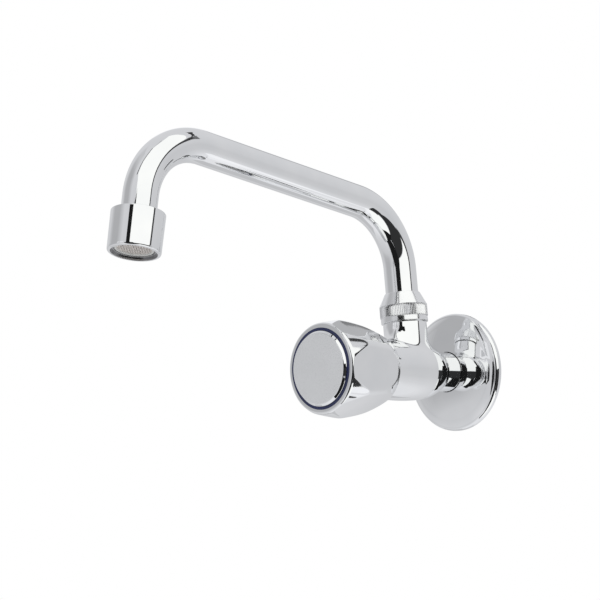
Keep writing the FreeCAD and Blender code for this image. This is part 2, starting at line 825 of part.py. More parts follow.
def valve_plunger():
    """A cupped disc on a hexagonal stem, bored for the spindle's screw and for the washer's screw."""
    body = new_body("valve_plunger")
    disc = sizes.plunger_disc_dia / 2
    cup = sizes.washer_dia / 2 + FIT
    cup_rim_at = plunger_face_at - sizes.plunger_cup_depth
    revolve(body, "disc", [
        (0.0, plunger_face_at),
        (cup, plunger_face_at),
        (cup, cup_rim_at),
        (disc, cup_rim_at),
        (disc, plunger_stem_at),
        (0.0, plunger_stem_at),
    ])
    hexagon = new_sketch(body, "XY_Plane", "stem_hexagon", plunger_stem_at)
    draw_hexagon(hexagon, sizes.guide_hex_width - 2 * sizes.running_gap)
    extrude(body, "stem", hexagon, sizes.plunger_length)
    screw_bore = sizes.spindle_screw_dia / 2 + sizes.running_gap
    revolve(body, "screw_bore", [
        (0.0, plunger_stem_at + sizes.plunger_bore_floor),
        (screw_bore, plunger_stem_at + sizes.plunger_bore_floor),
        (screw_bore, plunger_end_at + 1),
        (0.0, plunger_end_at + 1),
    ], cut=True)
    washer_hole = sizes.screw_dia / 2 + FIT
    revolve(body, "washer_screw_hole", [
        (0.0, plunger_face_at - 1),
        (washer_hole, plunger_face_at - 1),
        (washer_hole, plunger_face_at + sizes.washer_screw_length + FIT),
        (0.0, plunger_face_at + sizes.washer_screw_length + FIT),
    ], cut=True)
    return on_valve_axis(body)


def valve_washer():
    hole = sizes.screw_dia / 2 + sizes.running_gap
    corners = ring_corners(hole, sizes.washer_dia / 2, washer_face_at, plunger_face_at)
    return on_valve_axis(turned("valve_washer", corners))


def washer_screw():
    shank = sizes.screw_dia / 2
    head = sizes.screw_head_dia / 2
    head_at = washer_face_at - sizes.washer_screw_head_height
    return on_valve_axis(turned("washer_screw", [
        (0.0, head_at),
        (head, head_at),
        (head, washer_face_at),
        (shank, washer_face_at),
        (shank, plunger_face_at + sizes.washer_screw_length),
        (0.0, plunger_face_at + sizes.washer_screw_length),
    ]))


# Knob


def knob():
    """A cone that widens to the rear, cut by six long curved facets, hollow from both ends."""
    body = new_body("knob")
    slope = tangent(sizes.knob_front_slope)
    widest = sizes.knob_widest_dia / 2
    rear = widest + (sizes.knob_widest_at - sizes.knob_rear_at) * slope
    front = widest - (sizes.knob_front_at - sizes.knob_widest_at) * slope
    back = sizes.knob_front_rounding
    rounding = back / tangent((90 - sizes.knob_front_slope) / 2)
    edge_radius = front + back * sine(sizes.knob_front_slope)
    edge_at = sizes.knob_front_at - back * cosine(sizes.knob_front_slope)
    revolve(body, "cone", [
        (0.0, sizes.knob_rear_at),
        (rear, sizes.knob_rear_at),
        (edge_radius, edge_at, rounding),
        (front - back, sizes.knob_front_at),
        (0.0, sizes.knob_front_at),
    ])
    facet = new_sketch(body, "XZ_Plane", "facet_profile")
    beyond = rear * 1.2
    draw_chain(facet, [
        (beyond, sizes.knob_rear_at),
        (beyond, sizes.knob_front_at),
        (sizes.knob_facet_front_across / 2, sizes.knob_front_at, sizes.knob_facet_radius),
        (sizes.knob_facet_rear_across / 2, sizes.knob_rear_at),
    ])
    cut = extrude(body, "facet", facet, 2 * beyond, cut=True, midplane=True)
    repeat_round(body, "facets", cut, sizes.knob_facets)
    rear_at = value_of(sizes.knob_rear_at)
    shortest = value_of(sizes.knob_front_at - sizes.knob_rear_at) / 3

    def ridge(edge):
        box = edge.BoundBox
        return box.ZLength > shortest and abs(box.ZMin - rear_at) < 0.1

    dress(body, "PartDesign::Fillet", "soft_ridges", sizes.knob_ridge_rounding, ridge)
    knee_at = sizes.knob_rear_at + sizes.knob_rear_knee_depth
    trim_at = sizes.knob_rear_at + sizes.knob_rear_trim_depth
    revolve(body, "rear_trim", [
        (sizes.knob_rear_dia / 2, sizes.knob_rear_at - 1),
        (beyond, sizes.knob_rear_at - 1),
        (beyond, trim_at),
        (sizes.knob_rear_trim_dia / 2, trim_at, -sizes.knob_rear_trim_radius),
        (sizes.knob_rear_knee_dia / 2, knee_at, -sizes.knob_rear_knee_radius),
        (sizes.knob_rear_dia / 2, sizes.knob_rear_at),
    ], cut=True)
    boss = sizes.boss_dia / 2
    boss_rear_at = web_rear_at - sizes.boss_length
    revolve(body, "rear_hollow", [
        (0.0, sizes.knob_rear_at - 1),
        (sizes.knob_mouth_dia / 2, sizes.knob_rear_at - 1),
        (sizes.knob_hollow_dia / 2, web_rear_at),
        (boss, web_rear_at),
        (boss, boss_rear_at),
        (0.0, boss_rear_at),
    ], cut=True)
    socket = new_sketch(body, "XY_Plane", "insert_hexagon", boss_rear_at)
    draw_hexagon(socket, sizes.insert_width + 2 * FIT)
    extrude(body, "insert_socket", socket, sizes.boss_length, reverse=True, cut=True)
    hole = sizes.screw_dia / 2 + sizes.loose_gap
    hollow = sizes.knob_front_hollow_dia / 2
    recess = sizes.ring_inner_dia / 2
    ring = sizes.ring_dia / 2 + FIT
    revolve(body, "front_hollow", [
        (0.0, web_rear_at - 1),
        (hole, web_rear_at - 1),
        (hole, web_front_at),
        (hollow, web_front_at),
        (hollow, face_floor_at),
        (recess, face_floor_at),
        (recess, ring_floor_at),
        (ring, ring_floor_at),
        (ring, sizes.knob_front_at + 1),
        (0.0, sizes.knob_front_at + 1),
    ], cut=True)
    return on_knob_axis(body)


def index_ring():
    """The coloured ring in the knob's face, with a ledge that the cap lies on."""
    outer = sizes.ring_dia / 2
    inner = sizes.ring_inner_dia / 2
    return on_knob_axis(turned("index_ring", [
        (inner, ring_floor_at),
        (outer, ring_floor_at),
        (outer, ring_top_at),
        (outer - sizes.ring_band, ring_top_at),
        (outer - sizes.ring_band, ring_ledge_at),
        (inner, ring_ledge_at),
    ]))


def knob_cap():
    """A shallow crowned lid with a bevelled edge and a skirt that plugs into the knob."""
    edge = sizes.ring_dia / 2 - sizes.ring_band - FIT
    rim_at = ring_top_at + sizes.cap_stand - sizes.cap_bevel
    face_at = ring_top_at + sizes.cap_stand
    skirt = sizes.ring_inner_dia / 2 - FIT
    inside = skirt - sizes.cap_sheet
    crown_width = edge - sizes.cap_bevel - sizes.cap_flat_dia / 2
    crown_radius = (crown_width * crown_width + sizes.cap_crown * sizes.cap_crown) / (sizes.cap_crown * 2)
    return on_knob_axis(turned("knob_cap", [
        (0.0, ring_ledge_at + sizes.cap_sheet - FIT),
        (inside, ring_ledge_at + sizes.cap_sheet - FIT),
        (inside, face_floor_at + sizes.loose_gap),
        (skirt, face_floor_at + sizes.loose_gap),
        (skirt, ring_ledge_at),
        (edge, ring_ledge_at),
        (edge, rim_at),
        (edge - sizes.cap_bevel, face_at, crown_radius),
        (sizes.cap_flat_dia / 2, face_at + sizes.cap_crown),
        (0.0, face_at + sizes.cap_crown),
    ]))


# Spout


def foot_groove_heights():
    first = foot_bottom_height + sizes.foot_ring_set_back
    return [first, first + sizes.foot_ring_spacing]


def spout_foot():
    """The spigot that turns in the neck: two ring grooves, a collar and a nipple inside the tube."""
    bore = sizes.foot_bore_dia / 2
    spigot = sizes.neck_bore_dia / 2 - sizes.running_gap
    floor = spigot - sizes.foot_ring_section - FIT
    width = sizes.foot_ring_section + sizes.ring_groove_play
    collar = sizes.foot_collar_dia / 2
    nipple = tube_bore_radius - FIT
    top = tube_foot_height + sizes.foot_nipple_length
    return on_stalk_axis(turned("spout_foot", [
        (bore, foot_bottom_height),
        (spigot, foot_bottom_height),
        *grooves(spigot, floor, width, foot_groove_heights()),
        (spigot, foot_collar_height),
        (collar, foot_collar_height),
        (collar, tube_foot_height),
        (nipple, tube_foot_height),
        (nipple, top),
        (bore, top),
    ]))


def spout_o_rings():
    section = sizes.foot_ring_section / 2
    middle = sizes.neck_bore_dia / 2 - sizes.running_gap - section
    return on_stalk_axis(o_rings("spout_o_rings", middle, foot_groove_heights(), section))


def spout_slide_ring():
    """The plastic ring between the spigot's collar and the nut."""
    inner = tube_radius + sizes.running_gap
    top = tube_foot_height + sizes.slide_ring_thickness
    corners = ring_corners(inner, sizes.foot_collar_dia / 2, tube_foot_height, top)
    return on_stalk_axis(turned("spout_slide_ring", corners))


def spout_nut():
    """Plain band, knurled band and cone, with an inner shoulder over the spigot's collar."""
    body = new_body("spout_nut")
    band = sizes.nut_band_dia / 2
    knurl = sizes.nut_dia / 2
    knurl_height = nut_bottom_height + sizes.nut_band_height
    thread = sizes.neck_thread_dia / 2 + sizes.running_gap
    cavity = sizes.foot_collar_dia / 2 + sizes.loose_gap
    hole = tube_radius + sizes.loose_gap / 2
    groove = sizes.nut_groove
    revolve(body, "nut", [
        (thread, nut_bottom_height),
        (band, nut_bottom_height),
        (band, knurl_height - groove),
        (band - groove, knurl_height - groove),
        (band - groove, knurl_height),
        (knurl, knurl_height),
        (knurl, nut_cone_bottom_height),
        (sizes.nut_top_dia / 2, nut_top_height),
        (hole, nut_top_height),
        (hole, slide_ring_top_height),
        (cavity, slide_ring_top_height),
        (cavity, sizes.neck_top_height + sizes.foot_seat_gap),
        (thread, sizes.neck_top_height + sizes.foot_seat_gap),
    ])
    notch = new_sketch(body, "XY_Plane", "knurl_notch", nut_cone_bottom_height)
    half_pitch = sizes.nut_dia * tangent(180 / sizes.nut_knurls)
    draw_tooth(notch, knurl - sizes.nut_knurl_depth, knurl + sizes.nut_knurl_depth, half_pitch)
    cut = extrude(body, "knurl_cut", notch, sizes.nut_knurl_height, cut=True)
    repeat_round(body, "knurls", cut, sizes.nut_knurls)
    return on_stalk_axis(body)


def spout_tube():
    """The bent tube: up the stalk, out along the rising run, and down the outlet."""
    body = new_body("spout_tube")
    rise = sizes.rise_angle
    tilt = sizes.outlet_tilt
    radius = sizes.bend_radius
    height = sizes.rise_corner_height
    first_cut = radius * tangent((90 - rise) / 2)
    second_cut = radius * tangent((90 + rise - tilt) / 2)
    run = sizes.run_length
    run_end = run - second_cut
    corner_y = -run * cosine(rise)
    corner_z = height + run * sine(rise)
    drop = sizes.drop_length + sizes.collar_top + sizes.collar_socket
    path = new_sketch(body, "YZ_Plane", "centre_line")
    draw_chain(path, [
        (0.0, tube_foot_height),
        (0.0, height - first_cut, radius),
        (-first_cut * cosine(rise), height + first_cut * sine(rise)),
        (-run_end * cosine(rise), height + run_end * sine(rise), radius),
        (corner_y - second_cut * sine(tilt), corner_z - second_cut * cosine(tilt)),
        (corner_y - drop * sine(tilt), corner_z - drop * cosine(tilt)),
    ], closed=False)
    section = new_sketch(body, "XY_Plane", "section", tube_foot_height)
    draw_circle(section, 0.0, 0.0, tube_radius)
    draw_circle(section, 0.0, 0.0, tube_bore_radius)
    doc.recompute()
    pipe = body.newObject("PartDesign::AdditivePipe", "bent_tube")
    pipe.Profile = section
    pipe.Spine = (path, [f"Edge{n}" for n in range(1, 6)])
    return on_stalk_axis(body)


def outlet_collar():
    """The threaded ring on the tube's outlet end, with a socket for the tube."""
    socket = tube_radius + FIT
    socket_floor = sizes.collar_top + sizes.collar_socket
    return on_outlet_axis(turned("outlet_collar", [
        (socket, sizes.collar_top),
        (outlet_thread_radius, sizes.collar_top),
        (outlet_thread_radius, collar_bottom),
        (tube_bore_radius, collar_bottom),
        (tube_bore_radius, socket_floor),
        (socket, socket_floor),
    ]))


def aerator_housing():
    """The chrome sleeve: threaded inside, with a chamber, a lip and a recessed mouth."""
    body = new_body("aerator_housing")
    thread = outlet_thread_radius + sizes.running_gap
    chamber = sizes.aerator_chamber_dia / 2
    lip = sizes.sleeve_lip_dia / 2
    mouth = sizes.sleeve_mouth_dia / 2
    top = sizes.sleeve_top_dia / 2
    bottom = sizes.sleeve_bottom_dia / 2
    revolve(body, "sleeve", [
        (thread, 0.0),
        (top, 0.0),
        (bottom, sizes.sleeve_length),
        (mouth, sizes.sleeve_length),
        (mouth, mouth_floor),
        (lip, mouth_floor),
        (lip, lip_top),
        (chamber, lip_top),
        (chamber, collar_bottom),
        (thread, collar_bottom),
    ])
    dress(body, "PartDesign::Fillet", "bottom_edge", sizes.sleeve_edge,
          lambda edge: circle_at(edge, bottom, sizes.sleeve_length))
    dress(body, "PartDesign::Fillet", "top_edge", sizes.sleeve_edge / 2,
          lambda edge: circle_at(edge, top, 0.0))
    return on_outlet_axis(body)


def aerator_seal():
    inner = tube_bore_radius + sizes.loose_gap
    outer = sizes.aerator_chamber_dia / 2 - FIT
    return on_outlet_axis(turned("aerator_seal", ring_corners(inner, outer, collar_bottom, aerator_top)))


def aerator_insert():
    """The plastic jet former: a holed plate on a sleeve that stands on the chrome lip."""
    body = new_body("aerator_insert")
    outer = sizes.aerator_chamber_dia / 2 - FIT
    rim = sizes.insert_rim_dia / 2
    inner = sizes.insert_inner_dia / 2
    plate_bottom = aerator_top + sizes.insert_flange_thickness
    bottom = lip_top + sizes.insert_rim_depth
    screen = sizes.screen_dia / 2 + FIT
    revolve(body, "cup", [
        (0.0, aerator_top),
        (outer, aerator_top),
        (outer, lip_top),
        (rim, lip_top),
        (rim, bottom),
        (screen, bottom),
        (screen, screen_top),
        (inner, screen_top),
        (inner, plate_bottom),
        (0.0, plate_bottom),
    ])
    jet = new_sketch(body, "XY_Plane", "jet_circle", plate_bottom)
    draw_circle(jet, sizes.jet_circle_dia / 2, 0.0, sizes.jet_dia / 2)
    hole = extrude(body, "jet", jet, sizes.insert_flange_thickness, cut=True)
    repeat_round(body, "jets", hole, sizes.jets)
    return on_outlet_axis(body)


def aerator_screen():
    """Two crossed layers of wires in a rim, seen in the mouth of the sleeve."""
    body = new_body("aerator_screen")
    outer = sizes.screen_dia / 2
    wire = sizes.screen_wire
    layer = sizes.screen_thickness / 2
    span = sizes.screen_pitch * (sizes.screen_wires - 1)
    start = -span / 2 - wire / 2
    for name, height, axis_role in (("warp", screen_top, "X_Axis"), ("weft", screen_top + layer, "Y_Axis")):
        bar = new_sketch(body, "XY_Plane", name + "_bar", height)
        corners = [(start, -outer), (start + wire, -outer), (start + wire, outer), (start, outer)]
        if axis_role == "Y_Axis":
            corners = [(v, u) for u, v in corners]
        draw_chain(bar, corners)
        wires = extrude(body, name, bar, layer)
        pattern = body.newObject("PartDesign::LinearPattern", name + "_wires")
        pattern.Originals = [wires]
        pattern.Direction = (next(f for f in body.Origin.OriginFeatures if f.Role == axis_role), [""])
        bind(pattern, "Length", span)
        bind(pattern, "Occurrences", sizes.screen_wires)
        body.Tip = pattern
    rim = outer - sizes.screen_rim
    revolve(body, "rim", ring_corners(rim, outer, screen_top, screen_top + sizes.screen_thickness))
    beyond = outer * 2
    ends = ring_corners(outer, beyond, screen_top - 1, screen_top + sizes.screen_thickness + 1)
    revolve(body, "trim", ends, cut=True)
    return on_outlet_axis(body)


BUILDERS = [
    tap_body, wall_flange, flange_o_ring,
    bonnet, bonnet_seal, spindle_washer,
    spindle, spindle_o_rings, spindle_circlip, handle_insert, handle_screw,
    valve_plunger, valve_washer, washer_screw,
    knob, index_ring, knob_cap,
    spout_foot, spout_o_rings, spout_slide_ring, spout_nut, spout_tube,
    outlet_collar, aerator_housing, aerator_seal, aerator_insert, aerator_screen,
]
pieces = [build() for build in BUILDERS]
doc.recompute()

broken = [thing.Name for thing in doc.Objects if {"Invalid", "Error"} & set(thing.State)]
if broken:
    raise RuntimeError(f"these objects failed: {broken}")
for piece in pieces:
    if piece.Shape.isNull() or not piece.Shape.isValid():
        raise RuntimeError(f"{piece.Label} has no valid shape")

os.makedirs("parts", exist_ok=True)
for piece in pieces:
    piece.Shape.exportStep(f"parts/{piece.Label}.step")
    print(piece.Label, len(piece.Shape.Solids), round(piece.Shape.Volume, 1))
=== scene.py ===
import json
import math

import bmesh
import bpy
import numpy as np
from mathutils import Matrix, Vector


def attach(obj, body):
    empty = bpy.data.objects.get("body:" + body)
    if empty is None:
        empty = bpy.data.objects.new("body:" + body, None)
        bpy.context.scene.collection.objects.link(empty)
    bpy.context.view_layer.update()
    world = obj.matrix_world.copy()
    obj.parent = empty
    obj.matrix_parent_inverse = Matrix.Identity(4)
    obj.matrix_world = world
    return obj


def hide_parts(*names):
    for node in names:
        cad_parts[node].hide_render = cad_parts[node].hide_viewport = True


# Everything down to the studio is in millimetres until it becomes a mesh, in the solids' own frame.
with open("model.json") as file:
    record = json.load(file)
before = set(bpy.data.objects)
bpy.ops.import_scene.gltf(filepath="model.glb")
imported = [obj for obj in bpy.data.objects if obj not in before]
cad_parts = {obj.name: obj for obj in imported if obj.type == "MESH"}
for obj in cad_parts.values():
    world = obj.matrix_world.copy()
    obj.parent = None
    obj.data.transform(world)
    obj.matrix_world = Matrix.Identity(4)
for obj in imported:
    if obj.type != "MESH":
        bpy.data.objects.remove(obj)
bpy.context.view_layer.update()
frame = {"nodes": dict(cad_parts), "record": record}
MM = 0.001

# Sizes shared with the solids. A name ending in _AT is a distance from the wall's face.
STALK_AT = 39.3
BARREL_FRONT_AT = 63.5
KNOB_REAR_AT = 65.0
KNOB_FRONT_AT = 107.4
KNOB_TURN = math.radians(-5.7)
FACETS = 6

# The spout's centre line goes up to the first corner, out along a run that rises, and down a drop
# that leans away from the wall. Both corners are bent to the same radius.
TUBE_RADIUS = 9.0
TUBE_BORE = 8.0
TUBE_FOOT = 37.3
TUBE_OVERRUN = 6.8
BEND = 37.0
RISE_CORNER = 88.0
RISE = math.radians(9.7)
RUN = 176.6
DROP = 44.3
TILT = math.radians(12.9)


# Places of the four axes: each matrix takes a piece's own Z axis to that axis

VALVE = Matrix.Rotation(math.radians(90), 4, "X")
KNOB = VALVE @ Matrix.Rotation(KNOB_TURN, 4, "Z")
STALK = Matrix.Translation((0, -STALK_AT, 0))
outlet_reach = RUN * math.cos(RISE) + DROP * math.sin(TILT)
outlet_rise = RUN * math.sin(RISE) - DROP * math.cos(TILT)
OUTLET = Matrix.Translation((0, -STALK_AT - outlet_reach, RISE_CORNER + outlet_rise))
OUTLET = OUTLET @ Matrix.Rotation(math.pi - TILT, 4, "X")


# Profiles

# How far past a rounding its last point lies, as a share of the rounding
SUPPORT = 0.35
# Steps of each search that halves a range
HALVINGS = 40


def arc(start, end, radius, steps=24):
    """Points of the short arc from start to end, without its end. Positive turns left."""
    start, end = np.array(start, float), np.array(end, float)
    chord = end - start
    half = np.linalg.norm(chord) / 2
    left = np.array([-chord[1], chord[0]]) / (2 * half)
    aside = math.copysign(math.sqrt(radius * radius - half * half), radius)
    centre = (start + end) / 2 + left * aside
    first = math.atan2(*(start - centre)[::-1])
    turn = 2 * math.asin(half / abs(radius)) * math.copysign(1, radius)
    angles = first + turn * np.arange(steps) / steps
    return [tuple(centre + abs(radius) * np.array([math.cos(a), math.sin(a)])) for a in angles]


def walk(points, index, step, distance):
    """The point a distance along a closed line from a corner, and how many corners it passed."""
    here = np.array(points[index][:2], float)
    passed = 0
    while True:
        index = (index + step) % len(points)
        there = np.array(points[index][:2], float)
        length = np.linalg.norm(there - here)
        if length >= distance:
            return here + (there - here) * distance / length, passed
        distance -= length
        here = there
        passed += 1


def softened(points, steps=7):
    """A closed polyline with some of its corners rounded.

    A corner's third number says how far back its rounding starts. A little beyond the rounding
    comes one more point, which keeps the sides on either hand flat in their shading.
    """
    count = len(points)
    rounded = {}
    dropped = set()
    for index, point in enumerate(points):
        if len(point) < 3:
            continue
        back, behind = walk(points, index, -1, point[2])
        ahead, before = walk(points, index, 1, point[2])
        dropped |= {(index - n) % count for n in range(1, behind + 1)}
        dropped |= {(index + n) % count for n in range(1, before + 1)}
        corner = np.array(point[:2], float)
        curve = []
        for t in np.arange(steps + 1) / steps:
            curve.append((1 - t) ** 2 * back + 2 * t * (1 - t) * corner + t * t * ahead)
        hold = SUPPORT * point[2]
        curve.insert(0, walk(points, index, -1, point[2] + hold)[0])
        curve.append(walk(points, index, 1, point[2] + hold)[0])
        rounded[index] = curve
    result = []
    for index, point in enumerate(points):
        if index in rounded:
            result += rounded[index]
        elif index not in dropped:
            result.append(np.array(point[:2], float))
    return np.array(result)


def spun(profile, columns=256):
    """Rows of points of a (radius, height) profile turned about the Z axis."""
    angles = 2 * math.pi * np.arange(columns) / columns
    radius = np.array([p[0] for p in profile])[:, None]
    height = np.array([p[1] for p in profile])[:, None]
    rows = [radius * np.cos(angles), radius * np.sin(angles), height + 0 * angles]
    return np.stack(rows, axis=-1)


def crossing(low, high, is_before):
    """The place between low and high where the test stops holding."""
    for _ in range(HALVINGS):
        middle = (low + high) / 2
        if is_before(middle):
            low = middle
        else:
            high = middle
    return low


# Meshes

# Points of a closed grid that meet on the axis become one. This is in metres.
MERGE_WITHIN = 1e-8
dressed = []


def in_metres(place):
    """The same place and turn, with its shift in metres."""
    return Matrix.Translation(place.translation * MM) @ place.to_3x3().to_4x4()


def piece(name, grids, place, body, node, slot, sharp=40):
    """A mesh of one or more closed grids of points, each (rows, columns, 3), wrapped both ways.

    It rides on a body and stands in for one of the solids. Edges over sharp degrees stay crisp.
    """
    mesh_builder = bmesh.new()
    for grid in grids:
        rows, columns = grid.shape[:2]
        verts = [[mesh_builder.verts.new(p * MM) for p in row] for row in grid]
        for i in range(rows):
            below, above = verts[i], verts[(i + 1) % rows]
            for j in range(columns):
                k = (j + 1) % columns
                mesh_builder.faces.new((below[j], below[k], above[k], above[j]))
    bmesh.ops.remove_doubles(mesh_builder, verts=mesh_builder.verts, dist=MERGE_WITHIN)
    bmesh.ops.recalc_face_normals(mesh_builder, faces=mesh_builder.faces)
    mesh = bpy.data.meshes.new(name)
    mesh_builder.to_mesh(mesh)
    mesh_builder.free()
    mesh.transform(in_metres(place))
    mesh.shade_smooth()
    mesh.set_sharp_from_angle(angle=math.radians(sharp))
    made = bpy.data.objects.new(name, mesh)
    bpy.context.scene.collection.objects.link(made)
    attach(made, body)
    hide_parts(node)
    dressed.append((made, slot))
    return made


# Body casting: a turned barrel, and a neck that grows out of it through a rolled fillet

TAIL_RADIUS = 11.0
TAIL_END_AT = 18.0
SWELL_START_AT = 18.5
SWELL_BEND = 34.0
BARREL_WIDEST = 16.0
BARREL_WIDEST_AT = 34.0
BARREL_BEND = 150.0
BARREL_FRONT_RADIUS = 15.35
BARREL_FRONT_ROUNDING = 0.5
RECESS_RADIUS = 12.9
RECESS_AT = 58.5
HEADWORK_RADIUS = 10.56
HEADWORK_END_AT = 49.2
CHAMBER_RADIUS = 9.8
CHAMBER_AT = 29.5
SEAT_RADIUS = 7.2
SEAT_AT = 31.0
SEAT_BORE = 5.5
SEAT_BACK_AT = 26.5
WATER_WAY = 6.5
THREAD_RADIUS = 10.4775
THREAD_PITCH = 1.814
THREAD_DEPTH = 1.16
THREAD_END = -16.0
THREAD_START = 4.0
THREAD_OVERLAP = 0.5
THREAD_FLANK = 1.3
THREAD_ROOT = 0.15
THREAD_TIP = 0.3
THREAD_LEAD_IN = 0.8
THREAD_LEAD_IN_LEAST = 0.45
THREAD_LEAD_IN_FADE = 0.2
THREAD_RUN_OUT = 1.2
THREAD_RUN_OUT_END = 0.4
NECK_RADIUS = 12.0
NECK_FILLET = 9.0
NECK_SHOULDER = 26.4
NECK_TOP = 35.0
NECK_THREAD_RADIUS = 11.0
SHOULDER_ROUNDING = 0.5
SHOULDER_CORNER = 0.1
SPIGOT_BORE = 8.58
SPIGOT_BORE_FOOT = 18.0
NECK_FOOT = 8.0
NECK_FOOT_RADIUS = 8.0
# The neck's first row lies inside the barrel's wall
SUNK_IN_WALL = 3.0
SUNK_INWARD = 1.0
# The fillet's ball rolls between the barrel and the neck, its centre this far from the axis
BALL_NEAREST = 10.0
BALL_FARTHEST = 40.0
BARREL_STEPS = 60
BARREL_SUBSTEPS = 12


def barrel_outline():
    """The barrel's outer side from the tail to the front edge."""
    widest = (BARREL_WIDEST, BARREL_WIDEST_AT)
    front = (BARREL_FRONT_RADIUS, BARREL_FRONT_AT)
    outline = [(TAIL_RADIUS, THREAD_START), (TAIL_RADIUS, TAIL_END_AT)]
    outline += arc((TAIL_RADIUS, SWELL_START_AT), widest, SWELL_BEND, BARREL_STEPS)
    outline += arc(widest, front, BARREL_BEND, BARREL_STEPS)
    return outline


def casting():
    """The barrel with its bores and seat, the neck, and the threaded end of the tail."""
    section = barrel_outline()
    section += [(BARREL_FRONT_RADIUS, BARREL_FRONT_AT, BARREL_FRONT_ROUNDING)]
    section += [(RECESS_RADIUS, BARREL_FRONT_AT), (RECESS_RADIUS, RECESS_AT)]
    section += [(HEADWORK_RADIUS, RECESS_AT), (HEADWORK_RADIUS, HEADWORK_END_AT)]
    section += [(CHAMBER_RADIUS, HEADWORK_END_AT), (CHAMBER_RADIUS, CHAMBER_AT)]
    section += [(SEAT_RADIUS, CHAMBER_AT), (SEAT_RADIUS, SEAT_AT)]
    section += [(SEAT_BORE, SEAT_AT), (SEAT_BORE, SEAT_BACK_AT)]
    section += [(WATER_WAY, SEAT_BACK_AT), (WATER_WAY, THREAD_START)]
    return [spun(softened(section), columns=288), neck(), inlet_thread()]


def fillet_ball(x, distance):
    """How high the centre of the fillet's ball lies at a place in plan, and where it rests."""
    outline = np.array(barrel_outline() + [(BARREL_FRONT_RADIUS, BARREL_FRONT_AT)])
    strides = outline[1:] - outline[:-1]
    shares = np.arange(BARREL_SUBSTEPS) / BARREL_SUBSTEPS
    side = np.concatenate([outline[:-1] + strides * share for share in shares])
    low, high = BALL_NEAREST, BALL_FARTHEST
    for _ in range(HALVINGS):
        radius = (low + high) / 2
        gaps = np.hypot(side[:, 0] - radius, side[:, 1] - distance)
        nearest = int(gaps.argmin())
        if gaps[nearest] < NECK_FILLET:
            low = radius
        else:
            high = radius
    height = math.sqrt(radius * radius - x * x)
    touch_radius, touch_at = side[nearest]
    touch = np.array([x * touch_radius / radius, touch_at, height * touch_radius / radius])
    return height, touch


def neck(columns=192, fillet_rows=20):
    """Rows from inside the barrel's wall, over the fillet and the neck, and down the bore."""
    upper = [(NECK_RADIUS, NECK_SHOULDER - SHOULDER_ROUNDING)]
    upper += [(NECK_RADIUS - SHOULDER_CORNER, NECK_SHOULDER - SHOULDER_CORNER)]
    upper += [(NECK_RADIUS - SHOULDER_ROUNDING, NECK_SHOULDER)]
    upper += [(NECK_THREAD_RADIUS, NECK_SHOULDER), (NECK_THREAD_RADIUS, NECK_TOP)]
    upper += [(SPIGOT_BORE, NECK_TOP), (SPIGOT_BORE, SPIGOT_BORE_FOOT)]
    upper += [(WATER_WAY, SPIGOT_BORE_FOOT), (WATER_WAY, NECK_FOOT)]
    upper += [(NECK_FOOT_RADIUS, NECK_FOOT)]
    rings = []
    for angle in 2 * math.pi * np.arange(columns) / columns:
        out = np.array([math.cos(angle), math.sin(angle)])
        x, away = out * (NECK_RADIUS + NECK_FILLET)
        height, touch = fillet_ball(x, STALK_AT - away)
        centre = np.array([x, away, height])
        touch = np.array([touch[0], STALK_AT - touch[1], touch[2]])
        to_barrel = (touch - centre) / np.linalg.norm(touch - centre)
        to_neck = np.array([-out[0], -out[1], 0.0])
        opening = math.acos(float(np.clip(to_barrel @ to_neck, -1, 1)))
        column = [touch + to_barrel * SUNK_IN_WALL + to_neck * SUNK_INWARD]
        for t in np.arange(fillet_rows + 1) / fillet_rows:
            blend = math.sin((1 - t) * opening) * to_barrel + math.sin(t * opening) * to_neck
            column.append(centre + NECK_FILLET * blend / math.sin(opening))
        column += [np.array([r * out[0], r * out[1], z]) for r, z in upper]
        rings.append(column)
    grid = np.array(rings).transpose(1, 0, 2)
    # The neck is worked out about the stalk, and the casting's own axes are the valve's
    return np.stack([grid[..., 0], grid[..., 2], STALK_AT - grid[..., 1]], axis=-1)


def inlet_thread(columns=120, rows_per_turn=14):
    """The pipe thread on the tail, run out at both ends, with the water way inside it."""
    top = THREAD_START + THREAD_OVERLAP
    turns = (top - THREAD_END) / THREAD_PITCH
    heights = np.linspace(THREAD_END, top, int(turns * rows_per_turn))
    angles = 2 * math.pi * np.arange(columns) / columns
    phase = heights[:, None] / THREAD_PITCH + angles[None, :] / (2 * math.pi)
    ridge = np.abs((phase % 1.0) * 2 - 1)
    wave = np.clip(ridge * THREAD_FLANK - THREAD_ROOT, 0, 1)
    lead_in = np.clip((heights - THREAD_END) / THREAD_LEAD_IN, THREAD_LEAD_IN_LEAST, 1)
    run_out = np.clip((THREAD_START - THREAD_RUN_OUT_END - heights) / THREAD_RUN_OUT, 0, 1)
    fade = lead_in * run_out
    first = heights < THREAD_END + THREAD_LEAD_IN
    fade = np.where(first, 1 - THREAD_LEAD_IN_FADE * fade, fade)
    root = THREAD_RADIUS - THREAD_DEPTH
    radius = THREAD_RADIUS - THREAD_DEPTH * (1 - wave) * fade[:, None]
    radius = np.where(heights[:, None] < THREAD_END + THREAD_TIP, root, radius)
    rows = [radius * np.cos(angles), radius * np.sin(angles), heights[:, None] + 0 * angles]
    inner = spun([(WATER_WAY, top), (WATER_WAY, THREAD_END)], columns)
    return np.concatenate([np.stack(rows, axis=-1), inner])


# Wall flange: thin sheet, rolled at the edge

SHEET = 1.0
FLANGE_RADIUS = 33.0
FLANGE_EDGE = 1.8
FLANGE_EDGE_ROUNDING = 0.2
ROLL_END = (31.2, 3.6)
ROLL_BEND = 2.2
SHOULDER_END = (27.0, 5.2)
SHOULDER_BEND = 20.0
HOLLOW_SHOULDER = (26.5, 4.2)
HOLLOW_SHOULDER_BEND = 10.0
DOME_HOLE = 11.3
DOME_TOP = 8.6
DOME_BEND = 90.0
DOME_HOLE_ROUNDING = 0.3


